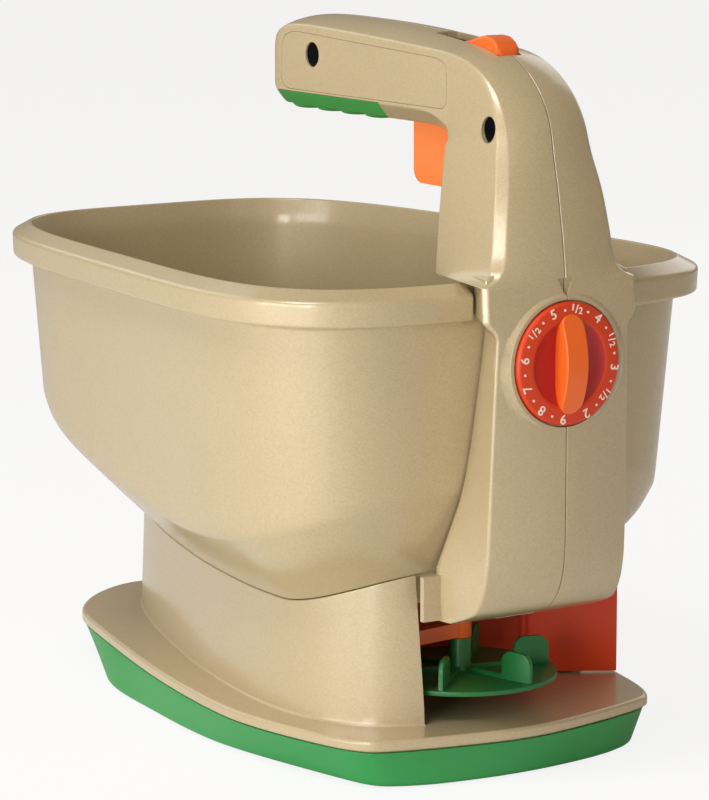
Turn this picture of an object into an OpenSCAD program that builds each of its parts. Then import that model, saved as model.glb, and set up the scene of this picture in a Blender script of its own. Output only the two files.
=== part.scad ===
// Handheld electric seed and fertiliser spreader.
// Front (dial side) is -Y, the handle's free end points to +Y, Z is up.
// The origin is the middle of the base's underside. All sizes are in millimetres.

/* [Base] */
// Half width of the platform where it is widest
plat_a = 88; // [84:1:92]
// Length of the platform in front of the middle
plat_b = 160; // [154:1:166]
// Height of the green tray under the platform
tray_h = 16; // [12:0.5:22]
// Thickness of the platform
plat_t = 4.3; // [3.5:0.1:6]
// Radius of the tray's lower edge
tray_in = 2.2; // [1:0.1:4]

/* [Pedestal] */
// Half width of the column at mid length
ped_a = 61.5; // [56:0.5:64]
// Setback of the column's end from the rim's end
ped_set = 10.6; // [8:0.2:16]
// Draft of the column from foot to seam
ped_draft = 2.4; // [1:0.1:4]
// Wall of the column
ped_wall = 2.6; // [2:0.1:3.2]
// Height of the seam between column and hopper
seam_z = 66; // [62:1:68]
// Rise of that seam at the front
seam_rise = 18; // [10:1:20]

/* [Hopper] */
// Half width of the rim's inner edge at mid length
lip_a = 98; // [92:1:104]
// Half length of the rim's inner edge
lip_b = 147.6; // [142:0.2:152]
// Height of the rim
rim_z = 200; // [190:1:210]
// Overhang of the rim band
rim_out = 7.6; // [6:0.2:9]
// Height of the rim band
band_h = 10.5; // [8:0.5:14]
// Wall of the hopper
hop_wall = 2.6; // [2:0.1:3.2]
// Lean of the walls, inward per unit of height
lean = 0.065; // [0.04:0.005:0.09]
// Height of the flat floor's underside over the spinner
floor_z = 69; // [68:0.5:71]
// Slope of the rest of the floor
floor_slope = 0.12; // [0.06:0.01:0.16]

/* [Handle and tower] */
// Height of the handle's top
handle_top = 296; // [288:1:304]
// Room beside the cells in the handle
cell_room = 0.8; // [0.6:0.1:2]
// Place of the handle's free end
handle_end = 11; // [8:0.5:14]
// Wall of the shells
shell_wall = 2.6; // [2:0.1:2.8]
// Half width of the tower's foot
foot_w = 28.4; // [27:0.1:30]
// Depth of the tower in front of the handle's corner
tower_d = 57.5; // [56:0.5:59]

/* [Trigger] */
// Half width of the trigger
trig_w = 8; // [6:0.5:9]
// Diameter of the trigger's pin
trig_pin_d = 5; // [4:0.5:6]
// Distance from the pin to the pull rod
trig_arm = 23; // [20:0.5:25]
// Travel of the trigger in degrees
trig_travel = 12; // [8:1:14]

/* [Dial] */
// Radius of the dial
dial_r = 24.6; // [22:0.2:26]
// Height of the dial's axis
dial_z = 169.5; // [165:0.5:174]
// Diameter of the dial's spindle
spindle_d = 8; // [7:0.5:9]

/* [Spinner] */
// Place of the spinner's axis
spin_y = -107; // [-109:0.5:-105]
// Radius of the disc
disc_r = 40; // [36:0.5:42]
// Height of the disc's underside
disc_z = 31.2; // [30:0.2:33]
// Thickness of the disc
disc_t = 1.8; // [1.5:0.1:2.5]
// Height of the vanes over the disc
vane_h = 12; // [9:0.5:12.5]
// Length of a vane
vane_l = 15; // [12:0.5:18]
// Number of vanes
vane_count = 6; // [4:1:8]
// Diameter of the drive shaft
shaft_d = 3; // [2.5:0.1:3.2]
// Radius of the hub
hub_r = 4.6; // [4:0.1:5.5]

/* [Flow gate] */
// Turn of the gate in degrees
gate_turn = 14; // [12:1:15]
// Width of each outlet in degrees
port_deg = 13; // [9:1:13]
// Inner radius of the outlets
port_r0 = 22; // [20:0.5:25]
// Outer radius of the outlets
port_r1 = 34; // [30:0.5:35]

/* [Cells] */
// Diameter of a cell
cell_d = 14.5; // [14:0.1:14.5]
// Length of a cell
cell_l = 50.5; // [49:0.5:50.5]

/* [Fits] */
// Running clearance of pins and shafts, on the radius
run_c = 0.05; // [0.02:0.01:0.1]
// Clearance between moving pieces
gap = 0.4; // [0.3:0.05:0.6]
// Clearance at shut lines between fixed pieces
shut = 0.25; // [0.15:0.05:0.35]

/* [Hidden] */
$fn = 48;
NT = 64;
plat_z = tray_h + plat_t;
lip_y = -2;
ped_y = -1;
ped_b = lip_b - ped_set;
ped_kf = 0.42;
ped_kb = 0.57;
lip_k = 0.14;
wall_in = 0.2;
band_z = rim_z - 4.3;
wall_z = band_z - band_h;
flat_y = -60;
handle_w = cell_d + cell_room + shell_wall + 0.1;
handle_h = 2 * (cell_d + cell_room + shell_wall) + 2.2;
inner_r = 8;
corner_y = lip_y - lip_b + 27.6;
corner_z = handle_top - handle_h - inner_r;
nose_y = corner_y - tower_d;
tan_c = "#C8B896";
green_c = "#3DA050";
orange_c = "#F37028";
steel_c = "#B8BCC0";
dark_c = "#2A2B2D";

function pw(v, e) = sign(v) * pow(abs(v), e);

// Closed plan outline: a superellipse that narrows toward the back
function oval(t, a, b, yc, n, m, kf, kb) =
    let (v = pw(sin(t), 2 / m))
    [pw(cos(t), 2 / n) * a * (1 - (v < 0 ? kf : kb) * v), yc + b * v];

function angles() = [for (i = [0:NT - 1]) 360 * (i + 0.5) / NT];

// Half outlines of the platform and of the tray's underside from front to back, as shares of
// plat_a and plat_b. The tray's underside stops short at the back, so its stern slopes.
plat_side = [[0, -1.008], [0.44, -0.965], [0.73, -0.92], [0.81, -0.885], [0.885, -0.795], [0.993, -0.53],
             [0.995, -0.34], [0.9, 0.06], [0.665, 0.62], [0.575, 0.785], [0.325, 0.94], [0, 1.025]];
foot_side = [[0, -0.985], [0.43, -0.96], [0.64, -0.92], [0.74, -0.88], [0.79, -0.78], [0.92, -0.42],
             [0.945, -0.22], [0.9, 0.08], [0.83, 0.38], [0.64, 0.57], [0.32, 0.645], [0, 0.66]];
function side_at(side, i) = let (k = len(side) - 1, j = (i + 2 * k) % (2 * k))
    j <= k ? side[j] : [-side[2 * k - j][0], side[2 * k - j][1]];
// Point t degrees round the smooth closed curve that follows a half outline and its mirror image
function side_pt(side, t, d) =
    let (u = t / 360 * 2 * (len(side) - 1), i = floor(u), f = u - i, b = side_at(side, i),
         p = (side_at(side, i - 1) + b) / 2, q = (b + side_at(side, i + 1)) / 2,
         m = (1 - f) * (1 - f) * p + 2 * f * (1 - f) * b + f * f * q)
    [m[0] * (plat_a + d), m[1] * (plat_b + d)];

// Plan outlines of the pieces, grown or shrunk by d
function plat_pt(t, d) = side_pt(plat_side, t, d);
function ped_pt(t, d) = oval(t, ped_a + d, ped_b + d, ped_y, 3, 3, ped_kf, ped_kb);
function lip_pt(t, d) = oval(t, lip_a + d, lip_b + d, lip_y, 3.93, 4.4, lip_k, lip_k);

// Height of the seam, of the crease under the walls and of the floor along Y
function seam_at(y) = seam_z + seam_rise * pow(max(0, min(1, (ped_y - ped_b + 58 - y) / 56)), 1.6);
function crease_at(y) = y < -50
    ? floor_z + 50 - 25 * sqrt(1 - pow(max(-1, (y + 50) / (lip_b - 48)), 2))
    : floor_z + 25 + 32 * pow((y + 50) / (lip_b + 32.4), 1.6);
function floor_at(y) = floor_z + floor_slope * max(0, y - flat_y);

// Inset of the hopper's wall from the rim's inner edge at height z
function wall_d(z) = -wall_in - lean * max(0, wall_z - z);
// Front face of the hopper on the middle plane
function hop_front(z) = lip_y - lip_b - wall_d(z);

function rim_ring(d, z) = [for (t = angles()) let (p = lip_pt(t, d)) [p[0], p[1], z]];
function crease_ring(d, dz) = [for (t = angles())
    let (q = lip_pt(t, 0), z = crease_at(q[1]), p = lip_pt(t, wall_d(z) + d)) [p[0], p[1], z + dz]];
function seam_ring(d, dz) = [for (t = angles())
    let (p = ped_pt(t, d - ped_draft)) [p[0], p[1], seam_at(p[1]) + dz]];
// Ring of the funnel that lies at height floor_at(y) + dz, inset by d
function funnel_ring(d, dz) = [for (t = angles())
    let (q = lip_pt(t, -12), z = floor_at(q[1]) + dz, zc = crease_at(q[1]), s = ped_pt(t, -ped_draft - d),
         e = lip_pt(t, wall_d(zc) - d), zs = seam_at(s[1]), f = max(0, (z - zs) / (zc - zs)))
    [s[0] + (e[0] - s[0]) * f, s[1] + (e[1] - s[1]) * f, z]];
function mix_rings(p, q, f, g) = [for (i = [0:NT - 1])
    [p[i][0] + (q[i][0] - p[i][0]) * f, p[i][1] + (q[i][1] - p[i][1]) * f, p[i][2] + (q[i][2] - p[i][2]) * g]];

// Solid through a list of rings, closed at both ends by a point
module loft(rings, first, last) {
    n = len(rings[0]);
    k = len(rings);
    pts = concat([first], [for (r = rings) each r], [last]);
    polyhedron(pts, [
        for (j = [0:n - 1]) [0, 1 + j, 1 + (j + 1) % n],
        for (i = [0:k - 2]) for (j = [0:n - 1]) each [
            [1 + i * n + j, 1 + (i + 1) * n + j, 1 + (i + 1) * n + (j + 1) % n],
            [1 + i * n + j, 1 + (i + 1) * n + (j + 1) % n, 1 + i * n + (j + 1) % n]],
        for (j = [0:n - 1]) [1 + (k - 1) * n + j, 1 + k * n, 1 + (k - 1) * n + (j + 1) % n]],
        convexity = 8);
}

// Ring-shaped solid through a closed list of rings
module ring_loft(rings) {
    n = len(rings[0]);
    k = len(rings);
    polyhedron([for (r = rings) each r], [
        for (i = [0:k - 1]) for (j = [0:n - 1]) each [
            [i * n + j, (i + 1) % k * n + j, (i + 1) % k * n + (j + 1) % n],
            [i * n + j, (i + 1) % k * n + (j + 1) % n, i * n + (j + 1) % n]]],
        convexity = 8);
}

module along_x(x0, x1, y, z, r) {
    translate([x0, y, z]) rotate([0, 90, 0]) cylinder(r = r, h = x1 - x0);
}
module along_y(y0, y1, x, z, r) {
    translate([x, y1, z]) rotate([90, 0, 0]) cylinder(r = r, h = y1 - y0);
}
module block(x0, x1, y0, y1, z0, z1) {
    translate([x0, y0, z0]) cube([x1 - x0, y1 - y0, z1 - z0]);
}
// Plate of the YZ plane from x0 to x1
module side_plate(x0, x1) {
    translate([x0, 0, 0]) rotate([90, 0, 90]) linear_extrude(x1 - x0) children();
}
// Sector of a ring
module sector(r0, r1, a0, a1) {
    difference() {
        circle(r = r1, $fn = 96);
        circle(r = r0);
        rotate(a1) translate([-2 * r1, 0]) square([4 * r1, 2 * r1]);
        rotate(a0) translate([-2 * r1, -2 * r1]) square([4 * r1, 2 * r1]);
    }
}

// Base
tray_screws = [[54, -60], [-54, -60], [42, 40], [-42, 40]];
screw_r = 1.6;

module base_tray() {
    function r(side, d, z) = [for (t = angles()) let (p = side_pt(side, t, d)) [p[0], p[1], z]];
    color(green_c) difference() {
        union() {
            loft([r(foot_side, -tray_in, 0), r(foot_side, -tray_in * 0.3, tray_in * 0.3), r(foot_side, 0.2, tray_in),
                  r(plat_side, -1, tray_h - 0.4), r(plat_side, -1 - ped_wall, tray_h - 0.4),
                  r(foot_side, -ped_wall - 1, ped_wall)],
                 [0, 0, 0], [0, 0, ped_wall]);
            for (p = tray_screws)
                translate([p[0], p[1], 1]) cylinder(r = 5, h = tray_h - 1);
        }
        for (p = tray_screws) translate([p[0], p[1], -1]) {
            cylinder(r = screw_r + 0.2, h = tray_h + 2);
            cylinder(r = 3.6, h = 5);
        }
    }
}

module base_screws() {
    color(steel_c) for (p = tray_screws) translate([p[0], p[1], 0]) {
        translate([0, 0, 1.8]) cylinder(r = 3.2, h = 2.2);
        translate([0, 0, 3]) cylinder(r = screw_r, h = plat_z - 1 - 3);
    }
}

// Discharge chamber: round the spinner, open to the front and to the far side
chamber_r = disc_r + 5.2;
mouth_x = -36;
guide_a = 59;
guide_end = 69;

module chamber_plan(r) {
    translate([0, spin_y]) {
        circle(r = r, $fn = 96);
        polygon([[mouth_x, -sqrt(r * r - mouth_x * mouth_x)], [mouth_x, -90], [130, -90],
                 [r * cos(guide_a) + 130 * sin(guide_a), r * sin(guide_a) - 130 * cos(guide_a)],
                 [r * cos(guide_a), r * sin(guide_a)], [0, 0]]);
    }
}

module pedestal() {
    function p(d, z) = [for (t = angles()) let (q = plat_pt(t, d)) [q[0], q[1], z]];
    function c(d, z) = [for (t = angles()) let (q = ped_pt(t, d)) [q[0], q[1], z]];
    color(tan_c) difference() {
        union() {
            loft([p(-2, tray_h), p(0, tray_h + 0.8), p(0, tray_h + 2), p(-2, plat_z)],
                 [0, 0, tray_h], [0, 0, plat_z]);
            difference() {
                ring_loft([c(0, plat_z - 1), seam_ring(0, -shut), seam_ring(-ped_wall, -shut),
                           c(-ped_wall, plat_z - 1)]);
                translate([0, 0, plat_z]) linear_extrude(100) chamber_plan(chamber_r);
            }
        }
        for (p = tray_screws) translate([p[0], p[1], tray_h - 1])
            cylinder(r = screw_r + 0.05, h = plat_t + 0.4);
        for (a = foot_a) rotate_spin(a) translate([foot_r, 0, tray_h - 1])
            cylinder(r = screw_r + 0.1, h = plat_t + 2);
    }
}

foot_a = [100, 165];
foot_r = chamber_r + 7.5;
guide_t = 2.6;
guide_r = chamber_r - 0.6;
module rotate_spin(a) { translate([0, spin_y, 0]) rotate(a) children(); }

module deflector() {
    color(orange_c) difference() {
        union() {
            translate([0, spin_y, plat_z + 0.8]) linear_extrude(seam_z - 0.8 - plat_z - 0.8) {
                sector(guide_r - guide_t, guide_r, guide_a, 205);
                rotate(guide_a) translate([guide_r - guide_t + 0.25, -guide_end])
                    square([guide_t - 0.5, guide_end + 1.5]);
            }
            rotate_spin(guide_a) translate([guide_r - guide_t - 3, -30, plat_z + 12])
                cube([4, 1.6, seam_z - 1.6 - plat_z - 12]);
            for (a = foot_a) rotate_spin(a) translate([guide_r - 1, -6, plat_z])
                cube([foot_r - guide_r + 6, 12, 4]);
        }
        for (a = foot_a) rotate_spin(a) translate([foot_r, 0, plat_z - 1]) cylinder(r = screw_r + 0.05, h = 8);
    }
}

module deflector_screws() {
    color(steel_c) for (a = foot_a) rotate_spin(a) translate([foot_r, 0, 0]) {
        translate([0, 0, tray_h - 2]) cylinder(r = 3, h = 2);
        translate([0, 0, tray_h - 1]) cylinder(r = screw_r, h = plat_t + 4);
    }
}

// Hopper
motor_r = 13.8;
motor_h = 38;
pocket_r = motor_r + 2;
floor_t = 3;
motor_z = floor_z + floor_t + 0.2;
boss_r = 3.2;
tower_screws_at = [[13, rim_z - 22], [-13, rim_z - 22], [13, 137], [-13, 137]];

module ports() {
    translate([0, spin_y]) for (a = [73, 107])
        sector(port_r0, port_r1, a - port_deg / 2, a + port_deg / 2);
}

module hopper() {
    s = seam_ring(0, 0);
    e = crease_ring(0, 0);
    color(tan_c) difference() {
        union() {
            loft([funnel_ring(3.4, 0), seam_ring(-3.2, 0), s, mix_rings(s, e, 0.5, 0.47),
                  mix_rings(s, e, 0.95, 0.92), crease_ring(0, 3), rim_ring(-wall_in, wall_z - 0.6),
                  rim_ring(rim_out - 0.4, wall_z + 0.6), rim_ring(rim_out, band_z), rim_ring(0.6, rim_z),
                  rim_ring(-0.4, rim_z - 0.3), rim_ring(-wall_in - hop_wall * 0.8, rim_z - 9),
                  rim_ring(-wall_in - hop_wall, wall_z - 4),
                  crease_ring(-hop_wall, 4), funnel_ring(3.4 + hop_wall, floor_t)],
                 [0, flat_y, floor_z], [0, flat_y, floor_z + floor_t]);
            translate([0, spin_y, floor_z + 0.5])
                cylinder(r = pocket_r + hop_wall, h = motor_h + 8);
            translate([0, spin_y, hub_top + 4]) cylinder(r = boss_r, h = floor_z - hub_top - 3);
        }
        translate([0, spin_y, motor_z - 0.2]) cylinder(r = pocket_r, h = motor_h + 3);
        translate([0, spin_y, motor_z - 1.7]) cylinder(r = 5.15, h = 4);
        translate([0, spin_y, hub_top]) cylinder(r = shaft_d / 2 + 0.1, h = 60);
        for (x = [-8, 8]) translate([x, spin_y, floor_z - 1]) cylinder(r = 1.35, h = 8);
        translate([0, 0, floor_z - 1]) linear_extrude(floor_t + 4) ports();
        // Notch in the rim for the tower
        block(-foot_w - 0.6, foot_w + 0.6, nose_y, hop_front(wall_z), wall_z - 3, rim_z + 5);
        for (p = tower_screws_at) along_y(hop_front(p[1]) - 9, hop_front(p[1]) + 16, p[0], p[1], 1.9);
    }
}

module tower_screws() {
    color(steel_c) for (p = tower_screws_at) {
        y = hop_front(p[1]) + hop_wall;
        along_y(y + 0.8, y + 3, p[0], p[1], 3.4);
        along_y(y - 12, y + 1.5, p[0], p[1], 1.6);
    }
}

// Shells of handle and tower. A station is a section across the path from the
// handle's end round the corner and down the tower:
// [y, z, direction, inner reach, outer reach, half width, taper, outer exponent, lift of the inner section,
//  inner exponent]
top_r = handle_top - corner_z;
nose_r = corner_y - nose_y;
function rear_r(z) = corner_y - (hop_front(z) - gap);
// Half width and taper from the half widths at the front and at the rear
function tower_st(z, rear, front, wf, wr, n, lift) =
    [corner_y, z, 180, rear, front, (wf + wr) / 2, (wf - wr) / (wf + wr), n, lift, 13];
// Half width of the tower's front face and of the collar that carries the rim on
face_w = foot_w + 3.6;
collar_w = foot_w + 8.2;
stations = concat(
    [[handle_end - 1.2, corner_z, 90, 15, top_r - 13, handle_w - 4.5, 0, 3, 0, 3],
     [handle_end - 3.6, corner_z, 90, 10.5, top_r - 6, handle_w - 1.6, 0, 3.2, 0, 3.2],
     [handle_end - 9, corner_z, 90, 8.5, top_r - 1.6, handle_w - 0.3, 0, 3.6, 0, 3.6],
     [handle_end - 18, corner_z, 90, inner_r, top_r, handle_w, 0, 3.8, 0, 3.8],
     [corner_y + 77, corner_z, 90, inner_r, top_r - 0.3, handle_w, 0, 3.8, 0, 3.8],
     [corner_y + 47, corner_z, 90, inner_r, top_r - 1.2, handle_w, 0, 3.8, 0, 3.8],
     [corner_y + 24, corner_z, 90, inner_r, top_r - 2.8, handle_w, 0, 3.7, 0, 3.8]],
    [for (a = [90:15:180]) let (f = (a - 90) / 90) [corner_y, corner_z, a, inner_r - 4.8 * f,
        top_r - 5.5 + 8 * pow(sin(a - 90), 2) - 0.2 * f, handle_w - 1.4 * sin(180 * f) + 3 * f, 0,
        3.4 - 0.4 * sin(180 * f) + 3 * pow(f, 4), 0, 3.8 + 8 * f]],
    [tower_st(corner_z - 14, 2.8, nose_r - 7, foot_w - 5.4, foot_w - 5.4, 6.6, 0),
     tower_st(rim_z + 20, 4, nose_r - 4.1, foot_w - 3.6, foot_w - 3.6, 6.8, 0),
     tower_st(rim_z + 11, 4.8, nose_r - 2.8, foot_w - 1.6, foot_w - 2.4, 7, 0),
     tower_st(rim_z + 3.4, 5.5, nose_r - 2, collar_w - 1.6, foot_w - 1.4, 9, 2.6),
     tower_st(rim_z + 0.9, 5.5, nose_r - 1.6, collar_w, foot_w - 1.2, 10, 2.6),
     tower_st(rim_z + 0.3, rear_r(rim_z), nose_r - 1.5, collar_w, foot_w - 4.2, 10, 2.6),
     tower_st(wall_z + 2, rear_r(rim_z), nose_r - 0.8, collar_w, foot_w - 4.2, 10, 0),
     tower_st(wall_z - 3, rear_r(wall_z), nose_r - 0.5, face_w - 0.8, foot_w - 9.8, 14, 0),
     tower_st(160, rear_r(160), nose_r, face_w, foot_w - 8, 14, 0),
     tower_st(125, rear_r(125), nose_r, face_w + 0.8, foot_w - 4.6, 14, 0),
     tower_st(107, rear_r(107), nose_r, face_w + 1.2, foot_w + 0.2, 14, 0),
     tower_st(95, rear_r(95), nose_r - 0.2, face_w + 1.4, foot_w + 4.4, 14, 0),
     tower_st(87, rear_r(92), nose_r - 1.2, face_w + 1.6, foot_w + 8, 14, 0),
     tower_st(79, rear_r(92), nose_r - 3.8, face_w + 1.8, foot_w + 8.2, 14, 0),
     tower_st(73, rear_r(92), nose_r - 8, face_w + 2, foot_w + 8.2, 12, 0),
     tower_st(floor_z + 0.6, rear_r(92), nose_r - 12.6, face_w + 2.4, foot_w + 8, 10, 0),
     tower_st(floor_z - 4, rear_r(92), nose_r - 26.5, face_w + 3.2, foot_w + 7.6, 8, 0)]);
MS = 21;

// One point of a station's section: side is -1 or 1, v runs from -90 to 90
function sec_pt(st, side, v, t, lift) =
    let (r0 = st[3] + t, r1 = st[4] - t, w = st[5] - t, n = v < 0 ? st[9] : st[7], s = pw(sin(v), 2 / n),
         u = (r0 + r1) / 2 + (r1 - r0) / 2 * s,
         x = side * w * (1 + st[6] * s) * pow(max(0, cos(v)), 2 / n))
    [abs(v) == 90 ? 0 : x, st[0] + u * cos(st[2]), st[1] + u * sin(st[2]) + lift];
// Inner stations step back from the handle's closed end
function inner_st(i, t) = let (st = stations[i])
    [for (q = [0:9]) q == 0 ? st[0] - max(0, 3 - i) * t / 3.2 : st[q]];
function sec(st, side, t, lift) = [for (j = [0:MS - 1]) sec_pt(st, side, -90 + 180 * j / (MS - 1), t, lift)];

module half_shell(side, t = shell_wall) {
    k = len(stations);
    m = MS;
    mid = corner_z + (15 + top_r - 13) / 2;
    pts = concat([for (st = stations) each sec(st, side, 0, 0)],
                 [for (i = [0:k - 1]) each sec(inner_st(i, t), side, t, stations[i][8])],
                 [[0, handle_end, mid], [0, handle_end - t, mid]]);
    po = 2 * k * m;
    pi = po + 1;
    o = k * m;
    f = concat(
        [for (i = [0:k - 2]) for (j = [0:m - 2]) each [
            [i * m + j, i * m + j + 1, (i + 1) * m + j + 1], [i * m + j, (i + 1) * m + j + 1, (i + 1) * m + j],
            [o + i * m + j, o + (i + 1) * m + j + 1, o + i * m + j + 1],
            [o + i * m + j, o + (i + 1) * m + j, o + (i + 1) * m + j + 1]]],
        [for (j = [0:m - 2]) each [[po, j + 1, j], [pi, o + j, o + j + 1]]],
        [for (i = [0:k - 2]) each [
            [i * m, (i + 1) * m, o + (i + 1) * m], [i * m, o + (i + 1) * m, o + i * m],
            [i * m + m - 1, o + (i + 1) * m + m - 1, (i + 1) * m + m - 1],
            [i * m + m - 1, o + i * m + m - 1, o + (i + 1) * m + m - 1]]],
        [[po, 0, o], [po, o, pi], [po, pi, o + m - 1], [po, o + m - 1, m - 1]],
        [for (j = [0:m - 2]) let (q = (k - 1) * m) each [
            [q + j, q + j + 1, o + q + j + 1], [q + j, o + q + j + 1, o + q + j]]]);
    polyhedron(pts, side < 0 ? f : [for (g = f) [g[0], g[2], g[1]]], convexity = 10);
}

// Whole outer body of the handle, filled
module handle_core(d) {
    n = 4 * (MS - 1);
    hs = [for (i = [0:6]) stations[i]];
    rings = [for (st = hs) [for (j = [0:2 * MS - 3])
        j < MS ? sec_pt(st, 1, -90 + 180 * j / (MS - 1), -d, 0)
               : sec_pt(st, -1, 90 - 180 * (j - MS + 1) / (MS - 1), -d, 0)]];
    loft([for (r = rings) [for (p = r) [p[0], p[1], p[2]]]], [0, handle_end, corner_z + 27],
         [0, corner_y + 24, corner_z + 27]);
}

pin_y = corner_y - 18;
pin_z = corner_z - 7;
cell_y1 = pin_y + 58 + cell_l;
grip_y0 = corner_y + 49;
grip_y1 = handle_end - 6;
grip_z = corner_z + inner_r + 3.4;
well_r = 5.2;
well_x = -5;
screw_at = [[cell_y1 + 8.5, corner_z + 30], [corner_y - 33, corner_z + 9.5]];
cover_y0 = corner_y;
cover_y1 = handle_end - 9;
cover_z0 = corner_z + inner_r + 6.8;
cover_z1 = handle_top - 7;
rod_y = pin_y - trig_arm;
slide_y = corner_y + 6;
slot_y0 = slide_y - 24;
slot_y1 = slide_y + 20;
slot_w = 5.8;

// Outline of the battery cover on the handle's side, grown by d
module cover_plan(d) {
    polygon([[cover_y0 - d, cover_z0 - d], [cover_y0 - d, cover_z1 - 7 + d],
             [cover_y0 + 4 - d, cover_z1 - 5 + d], [cover_y1 - 12, cover_z1 + d],
             [cover_y1 - 3 + d, cover_z1 - 3 + d], [cover_y1 + d, cover_z1 - 9 + d],
             [cover_y1 + d, cover_z0 + 3 - d], [cover_y1 - 3 + d, cover_z0 - d]]);
}

module shell_half(side) {
    left = side < 0;
    difference() {
        union() {
            difference() {
                half_shell(side);
                // Opening of the grip insert
                block(-40, 40, grip_y0 - shut, grip_y1 + shut, corner_z, grip_z + shut);
                if (left) side_plate(-40, -4) cover_plan(shut);
            }
            // Seat of the dial
            intersection() {
                along_y(nose_y + 2, nose_y + 6, 0, dial_z, dial_r + 2.4);
                block(left ? -40 : 0, left ? 0 : 40, nose_y - 20, nose_y + 20, dial_z - 60, dial_z + 60);
            }
            // Boss of the tower's screw and of the trigger's pin
            along_x(left ? -handle_w - 1 : 0, left ? 0 : handle_w + 1, screw_at[1][0], screw_at[1][1],
                    well_r + 1.8);
            // Flange beside the column's opening
            block(left ? -foot_w - 16 : foot_w + 4, left ? -foot_w - 4 : foot_w + 16,
                  hop_front(92) - gap - 2.5, hop_front(92) - gap - 0.1, floor_z - 3.4, seam_z + seam_rise - 0.4);
            along_x(left ? -handle_w - 2 : trig_w + 1.5, left ? -trig_w - 1.5 : handle_w + 2, pin_y, pin_z,
                    trig_pin_d / 2 + 2.5);
            if (!left) along_x(-3, handle_w - 1, screw_at[0][0], screw_at[0][1], 3.6);
            // Guides of the pull rod
            for (g = [[148, foot_w - 4.6], [rim_z - 10, foot_w - 1.8]])
                block(left ? -g[1] : rod_w + gap, left ? -rod_w - gap : g[1],
                      rod_y - 5, rod_y + 5, g[0], g[0] + 3);
            // Rests of the switch
            block(left ? -handle_w + 0.4 : 5.2, left ? -5.2 : handle_w - 0.4, corner_y - 5, corner_y - 0.6,
                  corner_z + 21, corner_z + 27);
            // Bosses of the screws from the hopper
            for (p = tower_screws_at) if (p[0] * side > 0)
                along_y(hop_front(p[1]) - gap - 12, hop_front(p[1]) - gap - 0.5, p[0], p[1], 4);
        }
        // Recess and bearing of the dial
        along_y(nose_y - 20, nose_y + 2.3, 0, dial_z, dial_r + gap);
        along_y(nose_y - 20, nose_y + 20, 0, dial_z, spindle_d / 2 + run_c);
        // Slot of the trigger
        block(-trig_w - 0.5, trig_w + 0.5, pin_y - 1, pin_y + 56.8, pin_z - 18, pin_z + 25);
        // Slot of the top slider
        block(-slot_w, slot_w, slot_y0, slot_y1, handle_top - 13, handle_top + 10);
        along_x(-16, 16, pin_y, pin_z, trig_pin_d / 2 + 0.02);
        // Screw of the tower
        along_x(-40, well_x, screw_at[1][0], screw_at[1][1], well_r);
        along_x(-20, 14, screw_at[1][0], screw_at[1][1], 1.6);
        along_x(-20, 14, screw_at[0][0], screw_at[0][1], 1.6);
        for (p = tower_screws_at) along_y(hop_front(p[1]) - 11, hop_front(p[1]) + 8, p[0], p[1], 1.65);
        // Window of the pull rod's foot in the rear wall
        block(-14, 14, hop_front(92) - 5.6, hop_front(92) + 16, floor_z - 9, floor_z + 22);
    }
}

module left_shell() { color(tan_c) shell_half(-1); }
module right_shell() { color(tan_c) shell_half(1); }

module battery_cover() {
    color(tan_c) difference() {
        union() {
            intersection() {
                half_shell(-1);
                side_plate(-40, -5) cover_plan(0);
            }
            along_x(-handle_w + 1, -3.3, screw_at[0][0], screw_at[0][1], well_r + 1.4);
        }
        along_x(-40, well_x, screw_at[0][0], screw_at[0][1], well_r);
        along_x(-20, 14, screw_at[0][0], screw_at[0][1], 1.6);
    }
}

module shell_screws() {
    color(steel_c) for (s = screw_at) {
        along_x(well_x - 2, well_x, s[0], s[1], 2.9);
        along_x(well_x - 1, 12, s[0], s[1], 1.5);
    }
}

module grip_insert() {
    color(green_c) intersection() {
        union() {
            handle_core(0.3);
            for (i = [0:3]) along_x(-10, 10, grip_y1 - 8.5 - 20 * i, corner_z + inner_r - 1.4 + 26, 26);
        }
        block(-40, 40, grip_y0, grip_y1, corner_z - 10, grip_z);
    }
}

// Trigger
module trigger() {
    color(orange_c) difference() {
        union() {
            side_plate(-trig_w, trig_w) {
                translate([pin_y + 50, pin_z - 5]) circle(r = 6);
                polygon([[pin_y + 56, pin_z + 15.6], [pin_y + 56, pin_z - 5], [pin_y + 50, pin_z - 11],
                         [pin_y + 14, pin_z - 11.4], [pin_y + 9, pin_z - 6], [pin_y + 9, pin_z + 8],
                         [pin_y + 18, pin_z + 13]]);
            }
            side_plate(-5.5, 5.5) {
                translate([pin_y, pin_z]) circle(r = trig_pin_d / 2 + 2.6);
                polygon([[pin_y + 12, pin_z - 8], [pin_y, pin_z - 5], [pin_y, pin_z + 5], [pin_y + 12, pin_z + 9]]);
            }
            for (x = [-5.5, rod_w + gap])
                block(x, x + 5.5 - rod_w - gap, rod_y - 2, pin_y, pin_z - 2.6, pin_z + 2.6);
            along_x(-5.5, 5.5, rod_y, pin_z, 2.2);
        }
        along_x(-20, 20, pin_y, pin_z, trig_pin_d / 2 + run_c);
    }
}

module trigger_pin() {
    color(steel_c) along_x(-15.6, 15.6, pin_y, pin_z, trig_pin_d / 2);
}

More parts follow.
